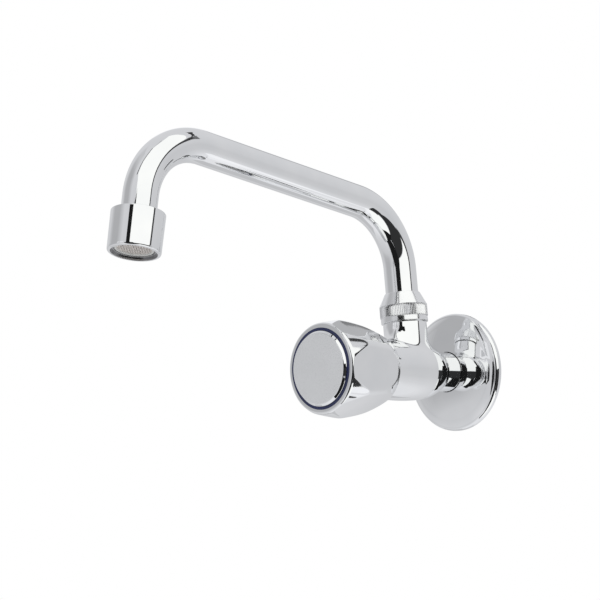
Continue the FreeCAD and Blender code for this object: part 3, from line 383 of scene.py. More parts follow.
def flange():
    """The dome outside, from its edge in to its hole, and back out along the hollow."""
    edge = (FLANGE_RADIUS, FLANGE_EDGE)
    hollow_edge = (FLANGE_RADIUS - SHEET, FLANGE_EDGE)
    profile = [(FLANGE_RADIUS, 0.0, FLANGE_EDGE_ROUNDING), edge]
    profile += arc(edge, ROLL_END, ROLL_BEND, steps=14)[1:]
    profile += arc(ROLL_END, SHOULDER_END, SHOULDER_BEND, steps=16)
    profile += arc(SHOULDER_END, (DOME_HOLE, DOME_TOP), DOME_BEND)
    profile += [(DOME_HOLE, DOME_TOP, DOME_HOLE_ROUNDING)]
    hollow_top = (DOME_HOLE, DOME_TOP - SHEET)
    profile += arc(hollow_top, HOLLOW_SHOULDER, SHEET - DOME_BEND, steps=12)
    profile += arc(HOLLOW_SHOULDER, hollow_edge, -HOLLOW_SHOULDER_BEND, steps=12)
    profile += [hollow_edge, (FLANGE_RADIUS - SHEET, 0.0)]
    return [spun(softened(profile), columns=320)]


# Union nut: a plain band, knurls and a cone

KNURLS = 88
KNURL_DEPTH = 0.3
KNURL_FOOT_GAP = 0.2
KNURL_TOP_GAP = 0.1
KNURL_MARGIN = 0.05
COLUMNS_PER_KNURL = 6
KNURL_ROWS = 10
NUT_BOTTOM = 26.7
NUT_BOTTOM_ROUNDING = 0.35
NUT_BAND_RADIUS = 12.95
NUT_BAND_TOP = 29.6
NUT_BAND_ROUNDING = 0.1
NUT_GROOVE_RADIUS = 12.75
NUT_GROOVE = 0.4
NUT_RADIUS = 13.2
NUT_KNURL_FOOT = 0.3
NUT_KNURL_TOP = 36.2
NUT_CONE_STEP = (0.12, 0.25)
NUT_CONE_RADIUS = 9.7
NUT_TOP = 43.3
NUT_TOP_ROUNDING = 0.25
NUT_HOLE = 9.15
COLLAR_ROOM_RADIUS = 10.6
COLLAR_ROOM_TOP = 38.2
NUT_THREAD_RADIUS = 11.08
NUT_THREAD_TOP = 35.1


def union_nut():
    """The nut's section turned about the stalk, with V grooves cut into its middle band."""
    groove_foot = NUT_BAND_TOP - NUT_GROOVE
    profile = [(NUT_THREAD_RADIUS, NUT_BOTTOM)]
    profile += [(NUT_BAND_RADIUS, NUT_BOTTOM, NUT_BOTTOM_ROUNDING)]
    profile += [(NUT_BAND_RADIUS, groove_foot, NUT_BAND_ROUNDING)]
    profile += [(NUT_GROOVE_RADIUS, groove_foot), (NUT_GROOVE_RADIUS, NUT_BAND_TOP)]
    profile += [(NUT_RADIUS - NUT_KNURL_FOOT, NUT_BAND_TOP)]
    knurl_rows = np.linspace(NUT_BAND_TOP + NUT_KNURL_FOOT, NUT_KNURL_TOP, KNURL_ROWS)
    profile += [(NUT_RADIUS, height) for height in knurl_rows]
    profile += [(NUT_RADIUS - NUT_CONE_STEP[0], NUT_KNURL_TOP + NUT_CONE_STEP[1])]
    profile += [(NUT_CONE_RADIUS, NUT_TOP, NUT_TOP_ROUNDING), (NUT_HOLE, NUT_TOP)]
    profile += [(NUT_HOLE, COLLAR_ROOM_TOP), (COLLAR_ROOM_RADIUS, COLLAR_ROOM_TOP)]
    profile += [(COLLAR_ROOM_RADIUS, NUT_THREAD_TOP), (NUT_THREAD_RADIUS, NUT_THREAD_TOP)]
    rows = spun(softened(profile), columns=KNURLS * COLUMNS_PER_KNURL)
    radius = np.hypot(rows[..., 0], rows[..., 1])
    height = rows[..., 2]
    angle = 2 * math.pi * np.arange(rows.shape[1]) / rows.shape[1]
    ridge = np.abs(((angle * KNURLS / (2 * math.pi)) % 1.0) * 2 - 1)
    # The grooves stop just short of the band's two ends
    low, high = NUT_BAND_TOP + KNURL_FOOT_GAP, NUT_KNURL_TOP - KNURL_TOP_GAP
    knurled = (height > low) & (height < high)
    outside = radius > NUT_RADIUS - KNURL_MARGIN
    cut = np.where(knurled & outside, KNURL_DEPTH * (1 - ridge), 0.0)
    scale = (radius - cut) / radius
    rows[..., 0] *= scale
    rows[..., 1] *= scale
    return [rows]


# Spout: the bent tube, its sleeve and the woven screen in the sleeve's mouth

BEND_STEPS = 60


def centre_line():
    """Points and directions along the bent tube, in the plane x = 0, as (y, z) from the stalk."""
    first_turn = math.pi / 2 - RISE
    second_turn = math.pi / 2 + RISE - TILT
    first_cut = BEND * math.tan(first_turn / 2)
    second_cut = BEND * math.tan(second_turn / 2)
    line = [((0.0, TUBE_FOOT), math.pi / 2)]
    for t in np.arange(BEND_STEPS + 1) / BEND_STEPS:
        heading = math.pi / 2 + t * first_turn
        y = -BEND * (1 - math.cos(heading - math.pi / 2))
        z = RISE_CORNER - first_cut + BEND * math.sin(heading - math.pi / 2)
        line.append(((y, z), heading))
    along = RUN - second_cut
    start = np.array([-along * math.cos(RISE), RISE_CORNER + along * math.sin(RISE)])
    centre = start + BEND * np.array([-math.sin(RISE), -math.cos(RISE)])
    for t in np.arange(BEND_STEPS + 1) / BEND_STEPS:
        heading = math.pi - RISE + t * second_turn
        point = centre + BEND * np.array([math.sin(heading), -math.cos(heading)])
        line.append((tuple(point), heading))
    corner = np.array([-RUN * math.cos(RISE), RISE_CORNER + RUN * math.sin(RISE)])
    last = corner + (DROP + TUBE_OVERRUN) * np.array([-math.sin(TILT), -math.cos(TILT)])
    line.append((tuple(last), line[-1][1]))
    return line


def tube_ring(point, heading, radius, columns=128):
    """A ring of points square to the centre line."""
    angles = 2 * math.pi * np.arange(columns) / columns
    across = radius * np.cos(angles)
    up = radius * np.sin(angles)
    side = np.array([-math.sin(heading), math.cos(heading)])
    return np.stack([across, point[0] + up * side[0], point[1] + up * side[1]], axis=-1)


def tube():
    """The tube's outside from foot to outlet, and its bore back."""
    line = centre_line()
    outer = [tube_ring(point, heading, TUBE_RADIUS) for point, heading in line]
    inner = [tube_ring(point, heading, TUBE_BORE) for point, heading in reversed(line)]
    return [np.array(outer + inner)]


# Heights here run along the outlet's axis, from the sleeve's upper edge to its mouth
SLEEVE_LENGTH = 20.8
SLEEVE_TOP_RADIUS = 13.7
SLEEVE_TOP_ROUNDING = 0.5
SLEEVE_MOUTH_RADIUS = 13.4
SLEEVE_MOUTH_ROUNDING = 1.2
SLEEVE_THREAD_RADIUS = 12.08
SLEEVE_THREAD_END = 10.4
INSERT_ROOM_RADIUS = 11.2
LIP_RADIUS = 10.0
LIP_BACK = 18.3
LIP_FRONT = 19.5
LIP_ROUNDING = 0.15
MOUTH_RADIUS = 11.6
MOUTH_ROUNDING = 0.2
SLEEVE_BORE_RADIUS = 11.7
SCREEN_MIDDLE = 18.0
SCREEN_RADIUS = 8.65
SCREEN_PITCH = 0.9
WIRE_RADIUS = 0.16
WIRE_SIDES = 6
WIRE_END_GAP = 0.3
ROWS_PER_CROSSING = 4
FEWEST_ROWS = 4
RIM_RADII = (8.0, 8.7)
RIM_HALF = 0.28


def sleeve():
    """The tapered sleeve with its thread's bore and the lip that holds the insert."""
    profile = [(SLEEVE_THREAD_RADIUS, 0.0), (SLEEVE_TOP_RADIUS, 0.0, SLEEVE_TOP_ROUNDING)]
    profile += [(SLEEVE_MOUTH_RADIUS, SLEEVE_LENGTH, SLEEVE_MOUTH_ROUNDING)]
    profile += [(MOUTH_RADIUS, SLEEVE_LENGTH, MOUTH_ROUNDING), (MOUTH_RADIUS, LIP_FRONT)]
    profile += [(LIP_RADIUS, LIP_FRONT, LIP_ROUNDING), (LIP_RADIUS, LIP_BACK)]
    profile += [(INSERT_ROOM_RADIUS, LIP_BACK), (INSERT_ROOM_RADIUS, SLEEVE_THREAD_END)]
    profile += [(SLEEVE_THREAD_RADIUS, SLEEVE_THREAD_END)]
    return [spun(softened(profile))]


def screen():
    """Wires woven over and under each other, cut to a disc, in a pressed rim."""
    low, high = SCREEN_MIDDLE - RIM_HALF, SCREEN_MIDDLE + RIM_HALF
    inside, outside = RIM_RADII
    grids = [spun([(inside, low), (outside, low), (outside, high), (inside, high)], columns=96)]
    around = 2 * math.pi * np.arange(WIRE_SIDES) / WIRE_SIDES
    count = int(SCREEN_RADIUS / SCREEN_PITCH)
    for lengthwise in (True, False):
        for index in range(-count, count + 1):
            offset = index * SCREEN_PITCH
            half = math.sqrt(max(SCREEN_RADIUS ** 2 - offset ** 2, 0.0)) - WIRE_END_GAP
            steps = max(FEWEST_ROWS, int(2 * half / (SCREEN_PITCH / ROWS_PER_CROSSING)))
            along = np.linspace(-half, half, steps)
            phase = (index % 2) * math.pi + (0 if lengthwise else math.pi)
            lift = SCREEN_MIDDLE + WIRE_RADIUS * np.cos(math.pi * along / SCREEN_PITCH + phase)
            wire = []
            for place, height in zip(along, lift):
                a = offset + WIRE_RADIUS * np.cos(around)
                b = height + WIRE_RADIUS * np.sin(around)
                ends = np.full(WIRE_SIDES, place)
                pair = (ends, a) if lengthwise else (a, ends)
                wire.append(np.stack([*pair, b], axis=-1))
            tip = wire[-1].mean(axis=0) + 0 * wire[-1]
            tail = wire[0].mean(axis=0) + 0 * wire[0]
            grids.append(np.array([*wire, tip, tail]))
    return grids


# Knob: six arched facets that run out into a turned cone at the front and a trim at the rear

FACET_BEND = 200.0
REAR_APOTHEM = 18.7
FRONT_APOTHEM = 24.0
RIDGE_ROUNDING = 4.5
CONE_WIDEST = 26.4
CONE_WIDEST_AT = 92.5
CONE_LEAN = math.radians(8.5)
FRONT_ROUNDING = 1.6
REAR_RIM = (16.2, KNOB_REAR_AT)
KNEE = (19.3, KNOB_REAR_AT + 1.9)
KNEE_BEND = 3.0
TRIM_END = (25.5, KNOB_REAR_AT + 20.0)
TRIM_BEND = 60.0
TRIM_SEARCH_TO = 85.0
CONE_SEARCH_FROM = 80.0
EDGE_SOFTNESS = 0.16
TRIM_SOFTNESS = 0.10
EDGE_REACH = 2.0
KNEE_ROWS = 12
TRIM_ROWS = 29
FACET_ROWS = 40
EDGE_ROWS = 24
ROUNDING_ROWS = 24
COLUMNS_PER_FACET = 72

# The knob's face is recessed for the ring and the cap, and a boss stands in the hollow behind it
RECESS_OF_RING = 21.63
RECESS_OF_CAP = 18.2
RING_SEAT_AT = 104.2
CAP_SEAT_AT = 101.2
SCREW_WELL = 14.0
SCREW_WELL_AT = 89.4
SCREW_HOLE = 2.3
BOSS_FACE_AT = 86.2
INSERT_ROOM = 7.9
BOSS_RADIUS = 10.0
BOSS_END_AT = 76.2
HOLLOW_FRONT = 13.8
HOLLOW_REAR = 14.3
RING_RADIUS = 21.6
RING_HOLE = 20.0
RING_STEP_AT = 106.2
RING_FRONT_AT = 107.5
RING_ROUNDING = 0.15
CAP_RADIUS = 19.97
CAP_SKIRT = 18.17
CAP_SKIRT_BORE = 16.8
CAP_FOOT_AT = 101.5
CAP_BACK_AT = 107.57
CAP_RIM_AT = 108.0
CAP_RIM_ROUNDING = 0.2
CAP_BEVEL_END = (18.77, 109.2)
CAP_BEVEL_ROUNDING = 0.35
CAP_MIDDLE = (4.0, 109.7)
CAP_BEND = 218.0
CAP_FACE_RADIUS = 18.6


def arc_radius(start, end, radius, at):
    """The distance from the axis, at a place along it, of a bulging arc from start to end."""
    start, end = np.array(start), np.array(end)
    chord = end - start
    half = np.linalg.norm(chord) / 2
    inward = np.array([-chord[1], chord[0]]) / (2 * half)
    centre = (start + end) / 2 + inward * math.sqrt(radius ** 2 - half ** 2)
    return centre[0] + math.sqrt(max(radius ** 2 - (at - centre[1]) ** 2, 0.0))


def apothem(at):
    """How far a facet's middle lies from the axis."""
    rear = (REAR_APOTHEM, KNOB_REAR_AT)
    front = (FRONT_APOTHEM, KNOB_FRONT_AT)
    return arc_radius(rear, front, FACET_BEND, at)


def cone_radius(at):
    """The turned cone that the facets run out into, with its rounded front rim."""
    front = CONE_WIDEST + (CONE_WIDEST_AT - KNOB_FRONT_AT) * math.tan(CONE_LEAN)
    edge_radius = front + FRONT_ROUNDING * math.sin(CONE_LEAN)
    edge_at = KNOB_FRONT_AT - FRONT_ROUNDING * math.cos(CONE_LEAN)
    if at <= edge_at:
        return CONE_WIDEST + (CONE_WIDEST_AT - at) * math.tan(CONE_LEAN)
    rounding = FRONT_ROUNDING / math.tan((math.pi / 2 - CONE_LEAN) / 2)
    rim = (front - FRONT_ROUNDING, KNOB_FRONT_AT)
    return arc_radius((edge_radius, edge_at), rim, rounding, at)


def trim_radius(at):
    """The turned surface that rounds the ridges off towards the knob's rear rim."""
    if at < KNEE[1]:
        return arc_radius(REAR_RIM, KNEE, KNEE_BEND, at)
    return arc_radius(KNEE, TRIM_END, TRIM_BEND, at)


def facet_radius(at, from_middle):
    """The facets' surface at an angle from the middle of the nearest one, its ridges rounded."""
    reach = apothem(at)
    flat = (reach - RIDGE_ROUNDING) * math.tan(math.pi / FACETS)
    if reach * math.tan(abs(from_middle)) <= flat:
        return reach / math.cos(from_middle)
    centre = (reach - RIDGE_ROUNDING) / math.cos(math.pi / FACETS)
    off = math.pi / FACETS - abs(from_middle)
    return centre * math.cos(off) + math.sqrt(RIDGE_ROUNDING ** 2 - (centre * math.sin(off)) ** 2)


def smaller(first, second, softness):
    """The smaller of two radii, with the edge between the two surfaces rolled over."""
    return (first + second - math.hypot(first - second, softness)) / 2


def outer_radius(at, from_middle):
    """The knob's outside: facets, cut by the cone at the front and by the trim at the rear."""
    front = smaller(facet_radius(at, from_middle), cone_radius(at), EDGE_SOFTNESS)
    return smaller(front, trim_radius(at), TRIM_SOFTNESS)


def knob_column(from_middle):
    """One section of the knob: over the outside from the rear rim, the face, and up the hollow."""

    def trimmed(at):
        return trim_radius(at) < facet_radius(at, from_middle)

    def faceted(at):
        return facet_radius(at, from_middle) < cone_radius(at)

    trim_end = crossing(KNOB_REAR_AT, TRIM_SEARCH_TO, trimmed)
    facet_end = crossing(CONE_SEARCH_FROM, KNOB_FRONT_AT, faceted)
    reach = min(EDGE_REACH, 0.5 * (KNOB_FRONT_AT - facet_end))
    knee = min(KNEE[1], trim_end)
    rounding = facet_end + reach

    # Rows stand closest at the two rims and along the lobes' edges
    knee_shares = (np.arange(KNEE_ROWS + 1) / KNEE_ROWS) ** 2
    rounding_shares = (1 - np.arange(1, ROUNDING_ROWS + 1) / ROUNDING_ROWS) ** 1.5
    places = list(KNOB_REAR_AT + (knee - KNOB_REAR_AT) * knee_shares)
    places += list(np.linspace(knee, trim_end + EDGE_REACH, TRIM_ROWS + 1)[1:])
    places += list(np.linspace(trim_end + EDGE_REACH, facet_end - reach, FACET_ROWS + 1)[1:])
    places += list(np.linspace(facet_end - reach, rounding, EDGE_ROWS + 1)[1:])
    places += list(KNOB_FRONT_AT - (KNOB_FRONT_AT - rounding) * rounding_shares)
    section = [(outer_radius(at, from_middle), at) for at in places]

    section += [(RECESS_OF_RING, KNOB_FRONT_AT), (RECESS_OF_RING, RING_SEAT_AT)]
    section += [(RECESS_OF_CAP, RING_SEAT_AT), (RECESS_OF_CAP, CAP_SEAT_AT)]
    section += [(SCREW_WELL, CAP_SEAT_AT), (SCREW_WELL, SCREW_WELL_AT)]
    section += [(SCREW_HOLE, SCREW_WELL_AT), (SCREW_HOLE, BOSS_FACE_AT)]
    section += [(INSERT_ROOM, BOSS_FACE_AT), (INSERT_ROOM, BOSS_END_AT)]
    section += [(BOSS_RADIUS, BOSS_END_AT), (BOSS_RADIUS, BOSS_FACE_AT)]
    section += [(HOLLOW_FRONT, BOSS_FACE_AT), (HOLLOW_REAR, KNOB_REAR_AT)]
    return section


def knob_shell():
    """The sections over one facet, set round the axis six times."""
    half = COLUMNS_PER_FACET // 2
    columns = []
    for step in range(COLUMNS_PER_FACET):
        from_middle = (step - half) / half * math.pi / FACETS
        columns.append(np.array(knob_column(from_middle)))
    grids = []
    for facet in range(FACETS):
        for step, column in enumerate(columns):
            angle = (facet + (step - half) / COLUMNS_PER_FACET) * 2 * math.pi / FACETS
            radius, height = column[:, 0], column[:, 1]
            across = radius * math.cos(angle)
            grids.append(np.stack([across, radius * math.sin(angle), height], axis=-1))
    return [np.array(grids).transpose(1, 0, 2)]


def face_ring():
    """The blue ring, stepped so that the cap's skirt holds it in the face."""
    profile = [(RECESS_OF_CAP, RING_SEAT_AT), (RING_RADIUS, RING_SEAT_AT)]
    profile += [(RING_RADIUS, RING_FRONT_AT, RING_ROUNDING)]
    profile += [(RING_HOLE, RING_FRONT_AT, RING_ROUNDING), (RING_HOLE, RING_STEP_AT)]
    profile += [(RECESS_OF_CAP, RING_STEP_AT)]
    return [spun(softened(profile))]


def cap():
    """The cap from the middle of its back, round the skirt and the bevel, to its domed face."""
    profile = [(0.0, CAP_BACK_AT), (CAP_SKIRT_BORE, CAP_BACK_AT), (CAP_SKIRT_BORE, CAP_FOOT_AT)]
    profile += [(CAP_SKIRT, CAP_FOOT_AT), (CAP_SKIRT, RING_STEP_AT), (CAP_RADIUS, RING_STEP_AT)]
    profile += [(CAP_RADIUS, CAP_RIM_AT, CAP_RIM_ROUNDING)]
    profile += [(*CAP_BEVEL_END, CAP_BEVEL_ROUNDING)]
    profile += arc(CAP_BEVEL_END, CAP_MIDDLE, CAP_BEND, steps=20)[1:]
    profile += [CAP_MIDDLE, (0.0, CAP_MIDDLE[1])]
    return [spun(softened(profile))]


piece("body_casting", casting(), VALVE, "body", "tap_body", "cast_chrome")
piece("flange_dome", flange(), VALVE, "body", "wall_flange", "sheet_chrome")
nut = piece("union_nut", union_nut(), STALK, "body", "spout_nut", "nut_chrome", sharp=25)
piece("spout_pipe", tube(), STALK, "spout", "spout_tube", "tube_chrome")
mouth = piece("outlet_sleeve", sleeve(), OUTLET, "spout", "aerator_housing", "sleeve_chrome")
piece("woven_screen", screen(), OUTLET, "spout", "aerator_screen", "mesh_steel")
piece("knob_shell", knob_shell(), KNOB, "knob", "knob", "knob_chrome")
piece("face_ring", face_ring(), KNOB, "knob", "index_ring", "index_blue")
face_cap = piece("face_cap", cap(), KNOB, "knob", "knob_cap", "cap_satin")


# Camera, worked out from the photograph's outlines

CAMERA_AT = Vector((708.04, -806.79, -111.41))
CAMERA_RIGHT = Vector((0.6863, 0.7229, -0.0805)).normalized()
CAMERA_BACK = Vector((0.709, -0.6895, -0.1477)).normalized()
CAMERA_LENS = 114.26

camera_data = bpy.data.cameras.new("camera")
camera_data.sensor_width = 36.0
camera_data.lens = CAMERA_LENS
camera_data.clip_start = 0.05
camera_data.clip_end = 50.0
camera = bpy.data.objects.new("camera", camera_data)
up = CAMERA_BACK.cross(CAMERA_RIGHT).normalized()
right = up.cross(CAMERA_BACK).normalized()
turned = Matrix((right, up, CAMERA_BACK)).transposed().to_4x4()
camera.matrix_world = Matrix.Translation(CAMERA_AT * MM) @ turned
bpy.context.scene.collection.objects.link(camera)
bpy.context.scene.camera = camera


# Materials: noises in cells per metre, and bump heights in metres

DRIFT = 70.0
DRIFT_DETAIL = 2.0
DRIFT_RANGE = (0.3, 0.7)
GRAIN = 900.0
GRAIN_DETAIL = 4.0
GRAIN_STRENGTH = 0.05
GRAIN_HEIGHT = 0.00002
WAVE_DETAIL = 1.5


def ramp(tree, value, stops):
    """Colours between stops of (position, colour)."""
    node = tree.nodes.new("ShaderNodeValToRGB")
    while len(node.color_ramp.elements) < len(stops):
        node.color_ramp.elements.new(0.5)
    for element, (position, colour) in zip(node.color_ramp.elements, stops):
        element.position = position
        element.color = (*colour, 1.0)
    tree.links.new(value, node.inputs["Fac"])
    return node.outputs["Color"]


def spread(tree, value, low, high):
    """The value's range from 0 to 1, moved to low and high."""
    node = tree.nodes.new("ShaderNodeMapRange")
    node.inputs["To Min"].default_value = low
    node.inputs["To Max"].default_value = high
    tree.links.new(value, node.inputs["Value"])
    return node.outputs["Result"]


def looked_at(tree):
    """1 where the camera, a mirror or a clear piece shows the surface, 0 where it gives light."""
    paths = tree.nodes.new("ShaderNodeLightPath")
    seen = paths.outputs["Is Camera Ray"]
    for ray in ("Is Glossy Ray", "Is Transmission Ray"):
        either = tree.nodes.new("ShaderNodeMath")
        either.operation = "MAXIMUM"
        tree.links.new(seen, either.inputs[0])
        tree.links.new(paths.outputs[ray], either.inputs[1])
        seen = either.outputs[0]
    return seen


def noise(tree, scale, detail):
    """Noise in the piece's own coordinates."""
    place = tree.nodes.new("ShaderNodeTexCoord")
    node = tree.nodes.new("ShaderNodeTexNoise")
    node.inputs["Scale"].default_value = scale
    node.inputs["Detail"].default_value = detail
    tree.links.new(place.outputs["Object"], node.inputs["Vector"])
    return node.outputs["Fac"]


def finish(name, colours, rough, metallic=0.0, grain=GRAIN, wave=None):
    """A material whose colour and roughness drift a little between two values.

    Its bump is a fine grain, or a slow waviness given as (scale, strength, height).
    """
    material = bpy.data.materials.new(name)
    material.use_nodes = True
    tree = material.node_tree
    surface = tree.nodes["Principled BSDF"]
    surface.inputs["Metallic"].default_value = metallic
    drift = noise(tree, DRIFT, DRIFT_DETAIL)
    colour = ramp(tree, drift, list(zip(DRIFT_RANGE, colours)))
    tree.links.new(colour, surface.inputs["Base Color"])
    fine = noise(tree, grain, GRAIN_DETAIL)
    tree.links.new(spread(tree, fine, *rough), surface.inputs["Roughness"])
    bump = tree.nodes.new("ShaderNodeBump")
    if wave:
        scale, strength, distance = wave
        height = noise(tree, scale, WAVE_DETAIL)
    else:
        height, strength, distance = fine, GRAIN_STRENGTH, GRAIN_HEIGHT
    bump.inputs["Strength"].default_value = strength
    bump.inputs["Distance"].default_value = distance
    tree.links.new(height, bump.inputs["Height"])
    tree.links.new(bump.outputs["Normal"], surface.inputs["Normal"])
    return material


CHROME = ((0.86, 0.87, 0.88), (0.90, 0.905, 0.91))
# The sleeve's bore is a darker grey: painted shade inside its mouth, where it is also left rough
BORE_SHADE = ((0.40, 0.40, 0.405), (0.46, 0.46, 0.465))
SATIN = ((0.91, 0.92, 0.935), (0.95, 0.96, 0.975))
BLUE = ((0.012, 0.018, 0.07), (0.020, 0.028, 0.10))
BRASS = ((0.72, 0.50, 0.22), (0.82, 0.60, 0.30))
STEEL = ((0.52, 0.52, 0.51), (0.62, 0.62, 0.61))
MESH_STEEL = ((0.80, 0.76, 0.73), (0.88, 0.84, 0.81))
RUBBER = ((0.012, 0.012, 0.012), (0.030, 0.029, 0.028))
FIBRE = ((0.30, 0.075, 0.04), (0.44, 0.13, 0.08))
WHITE_PLASTIC = ((0.80, 0.80, 0.78), (0.88, 0.88, 0.86))
DARK_PLASTIC = ((0.10, 0.11, 0.12), (0.17, 0.18, 0.19))
PALE_PLASTIC = ((0.70, 0.71, 0.70), (0.80, 0.81, 0.80))
PAPER = ((0.80, 0.80, 0.80), (0.84, 0.84, 0.84))
PLATED = (0.02, 0.06)
POLISHED = (0.02, 0.05)

MATERIALS = {
    "cast_chrome": finish("cast_chrome", CHROME, PLATED, 1.0, wave=(110.0, 0.25, 0.00006)),
    "sheet_chrome": finish("sheet_chrome", CHROME, PLATED, 1.0, wave=(60.0, 0.2, 0.00008)),
    "nut_chrome": finish("nut_chrome", CHROME, (0.12, 0.18), 1.0),
    "tube_chrome": finish("tube_chrome", CHROME, POLISHED, 1.0, wave=(40.0, 0.2, 0.00006)),
    "sleeve_chrome": finish("sleeve_chrome", CHROME, POLISHED, 1.0),
    "knob_chrome": finish("knob_chrome", CHROME, PLATED, 1.0, wave=(90.0, 0.2, 0.00006)),
    "cap_satin": finish("cap_satin", SATIN, (0.14, 0.22), 0.7),
    "index_blue": finish("index_blue", BLUE, (0.10, 0.20)),
    "brass": finish("brass", BRASS, (0.22, 0.38), 1.0, 1400.0),
    "steel": finish("steel", STEEL, (0.25, 0.40), 1.0, 1200.0),
    "mesh_steel": finish("mesh_steel", MESH_STEEL, (0.35, 0.50), 0.6, 1500.0),
    "rubber": finish("rubber", RUBBER, (0.55, 0.75)),
    "fibre": finish("fibre", FIBRE, (0.6, 0.85), grain=2500.0),
    "slide_plastic": finish("slide_plastic", WHITE_PLASTIC, (0.35, 0.5)),
    "insert_plastic": finish("insert_plastic", DARK_PLASTIC, (0.4, 0.6)),
    "aerator_plastic": finish("aerator_plastic", PALE_PLASTIC, (0.25, 0.4)),
}
slots = {entry["node"]: entry["material_slot"] for entry in frame["record"]["subparts"]}
# The two brass pieces whose edges show from outside are plated like their neighbours
slots["outlet_collar"] = "tube_chrome"
slots["bonnet"] = "cast_chrome"
for node_name, solid in frame["nodes"].items():
    for material_slot in solid.material_slots:
        material_slot.material = MATERIALS[slots[node_name]]
for made, slot_name in dressed:
    made.data.materials.append(MATERIALS[slot_name])


def second_finish(made, material, holds):
    """Gives a piece a second material where a test holds at the middle of a face."""
    made.data.materials.append(material)
    for polygon in made.data.polygons:
        polygon.material_index = 1 if holds(polygon.center / MM) else 0


def on_bevel(middle):
    """The cap's face is brushed and its bevel is polished."""
    return math.hypot(middle.x, middle.z) > CAP_FACE_RADIUS


def on_knurls(middle):
    """The nut's knurls scatter more than its smooth parts."""
    from_stalk = math.hypot(middle.x, middle.y + STALK_AT)
    outside = from_stalk > NUT_RADIUS - KNURL_DEPTH - KNURL_MARGIN
    return outside and NUT_BAND_TOP + KNURL_FOOT_GAP / 2 < middle.z < NUT_KNURL_TOP


from_outlet = OUTLET.inverted()


def in_mouth(middle):
    """Inside its mouth the sleeve is left rough, and its darker grey there is painted shade."""
    along_outlet = from_outlet @ middle
    return math.hypot(along_outlet.x, along_outlet.y) < SLEEVE_BORE_RADIUS


second_finish(face_cap, finish("cap_polish", CHROME, POLISHED, 1.0), on_bevel)
second_finish(nut, finish("knurl_chrome", CHROME, (0.21, 0.27), 1.0), on_knurls)
# Inside the sleeve's mouth the darker grey is painted shade, and the rougher finish is real
second_finish(mouth, finish("sleeve_bore_shade", BORE_SHADE, (0.20, 0.28), 1.0), in_mouth)


# Studio, in metres: a pale floor, and plain soft light from a white world

FLOOR_AT = -2.6
FLOOR_REACH = 40.0
PAPER_LIFT = 0.32
WORLD_LIGHT = 0.85
WHITE_SEEN = 1.0

floor_mesh = bpy.data.meshes.new("floor")
floor_corners = [(-1, -1), (1, -1), (1, 1), (-1, 1)]
floor_verts = [(x * FLOOR_REACH, y * FLOOR_REACH, FLOOR_AT) for x, y in floor_corners]
floor_mesh.from_pydata(floor_verts, [], [(0, 1, 2, 3)])
floor = bpy.data.objects.new("floor", floor_mesh)
bpy.context.scene.collection.objects.link(floor)
floor_paper = finish("floor_paper", PAPER, (0.7, 0.85))
floor_mesh.materials.append(floor_paper)
# To the camera the paper is as white as the backdrop, less the shadow that falls on it
paper_tree = floor_paper.node_tree
paper_surface = paper_tree.nodes["Principled BSDF"]
paper_surface.inputs["Emission Color"].default_value = (1.0, 1.0, 1.0, 1.0)
lift = spread(paper_tree, looked_at(paper_tree), 0.0, PAPER_LIFT)
paper_tree.links.new(lift, paper_surface.inputs["Emission Strength"])

world = bpy.data.worlds.new("studio")
bpy.context.scene.world = world
world.use_nodes = True
world_tree = world.node_tree
backdrop = world_tree.nodes["Background"]
backdrop.inputs["Color"].default_value = (1.0, 1.0, 1.0, 1.0)
strength = spread(world_tree, looked_at(world_tree), WORLD_LIGHT, WHITE_SEEN)
world_tree.links.new(strength, backdrop.inputs["Strength"])


# Tent: a sphere of soft grey with white cards and dark flags, only for the chrome to reflect

TENT_CENTRE = Vector((0.0, -0.10, 0.05))
TENT_RADIUS = 2.4
TINT = (1.0, 1.006, 1.032)
BRIGHTEST_BLUE = 1.065
WHITE = 1.08
DARK = 0.032
BLACK = 0.012
FRAME_DARK = 0.05

# How far inside the tent the cards hang, from the outermost layer in: an inner one covers
BACK_LAYER = 0.015
GROUND_LAYER = 0.02
SIDE_LAYER_STEP = 0.002
LINE_LAYER = 0.03
WINDOW_LAYER = 0.04
FRAME_LAYER = 0.05
FLAG_LAYER = 0.06
TALL_LAYER = 0.07
FRONT_LAYER = 0.09

card_light = bpy.data.materials.new("card_light")
card_light.use_nodes = True
card_light.cycles.emission_sampling = "NONE"
card_surface = card_light.node_tree.nodes["Principled BSDF"]
card_surface.inputs["Base Color"].default_value = (0.0, 0.0, 0.0, 1.0)
card_surface.inputs["Specular IOR Level"].default_value = 0.0
card_surface.inputs["Emission Strength"].default_value = 1.0
card_shade = card_light.node_tree.nodes.new("ShaderNodeVertexColor")
card_shade.layer_name = "shade"
card_light.node_tree.links.new(card_shade.outputs["Color"], card_surface.inputs["Emission Color"])


def on_tent(azimuth, elevation, inset):
    """A point of the tent in a direction seen from the tap."""
    azimuth, elevation = math.radians(azimuth), math.radians(elevation)
    level = math.cos(elevation)
    x, y = level * math.cos(azimuth), level * math.sin(azimuth)
    return TENT_CENTRE + Vector((x, y, math.sin(elevation))) * (TENT_RADIUS - inset)


def shade_at(elevation, stops):
    """The brightness between stops of (elevation, brightness), given from low to high."""
    return float(np.interp(elevation, [s[0] for s in stops], [s[1] for s in stops]))


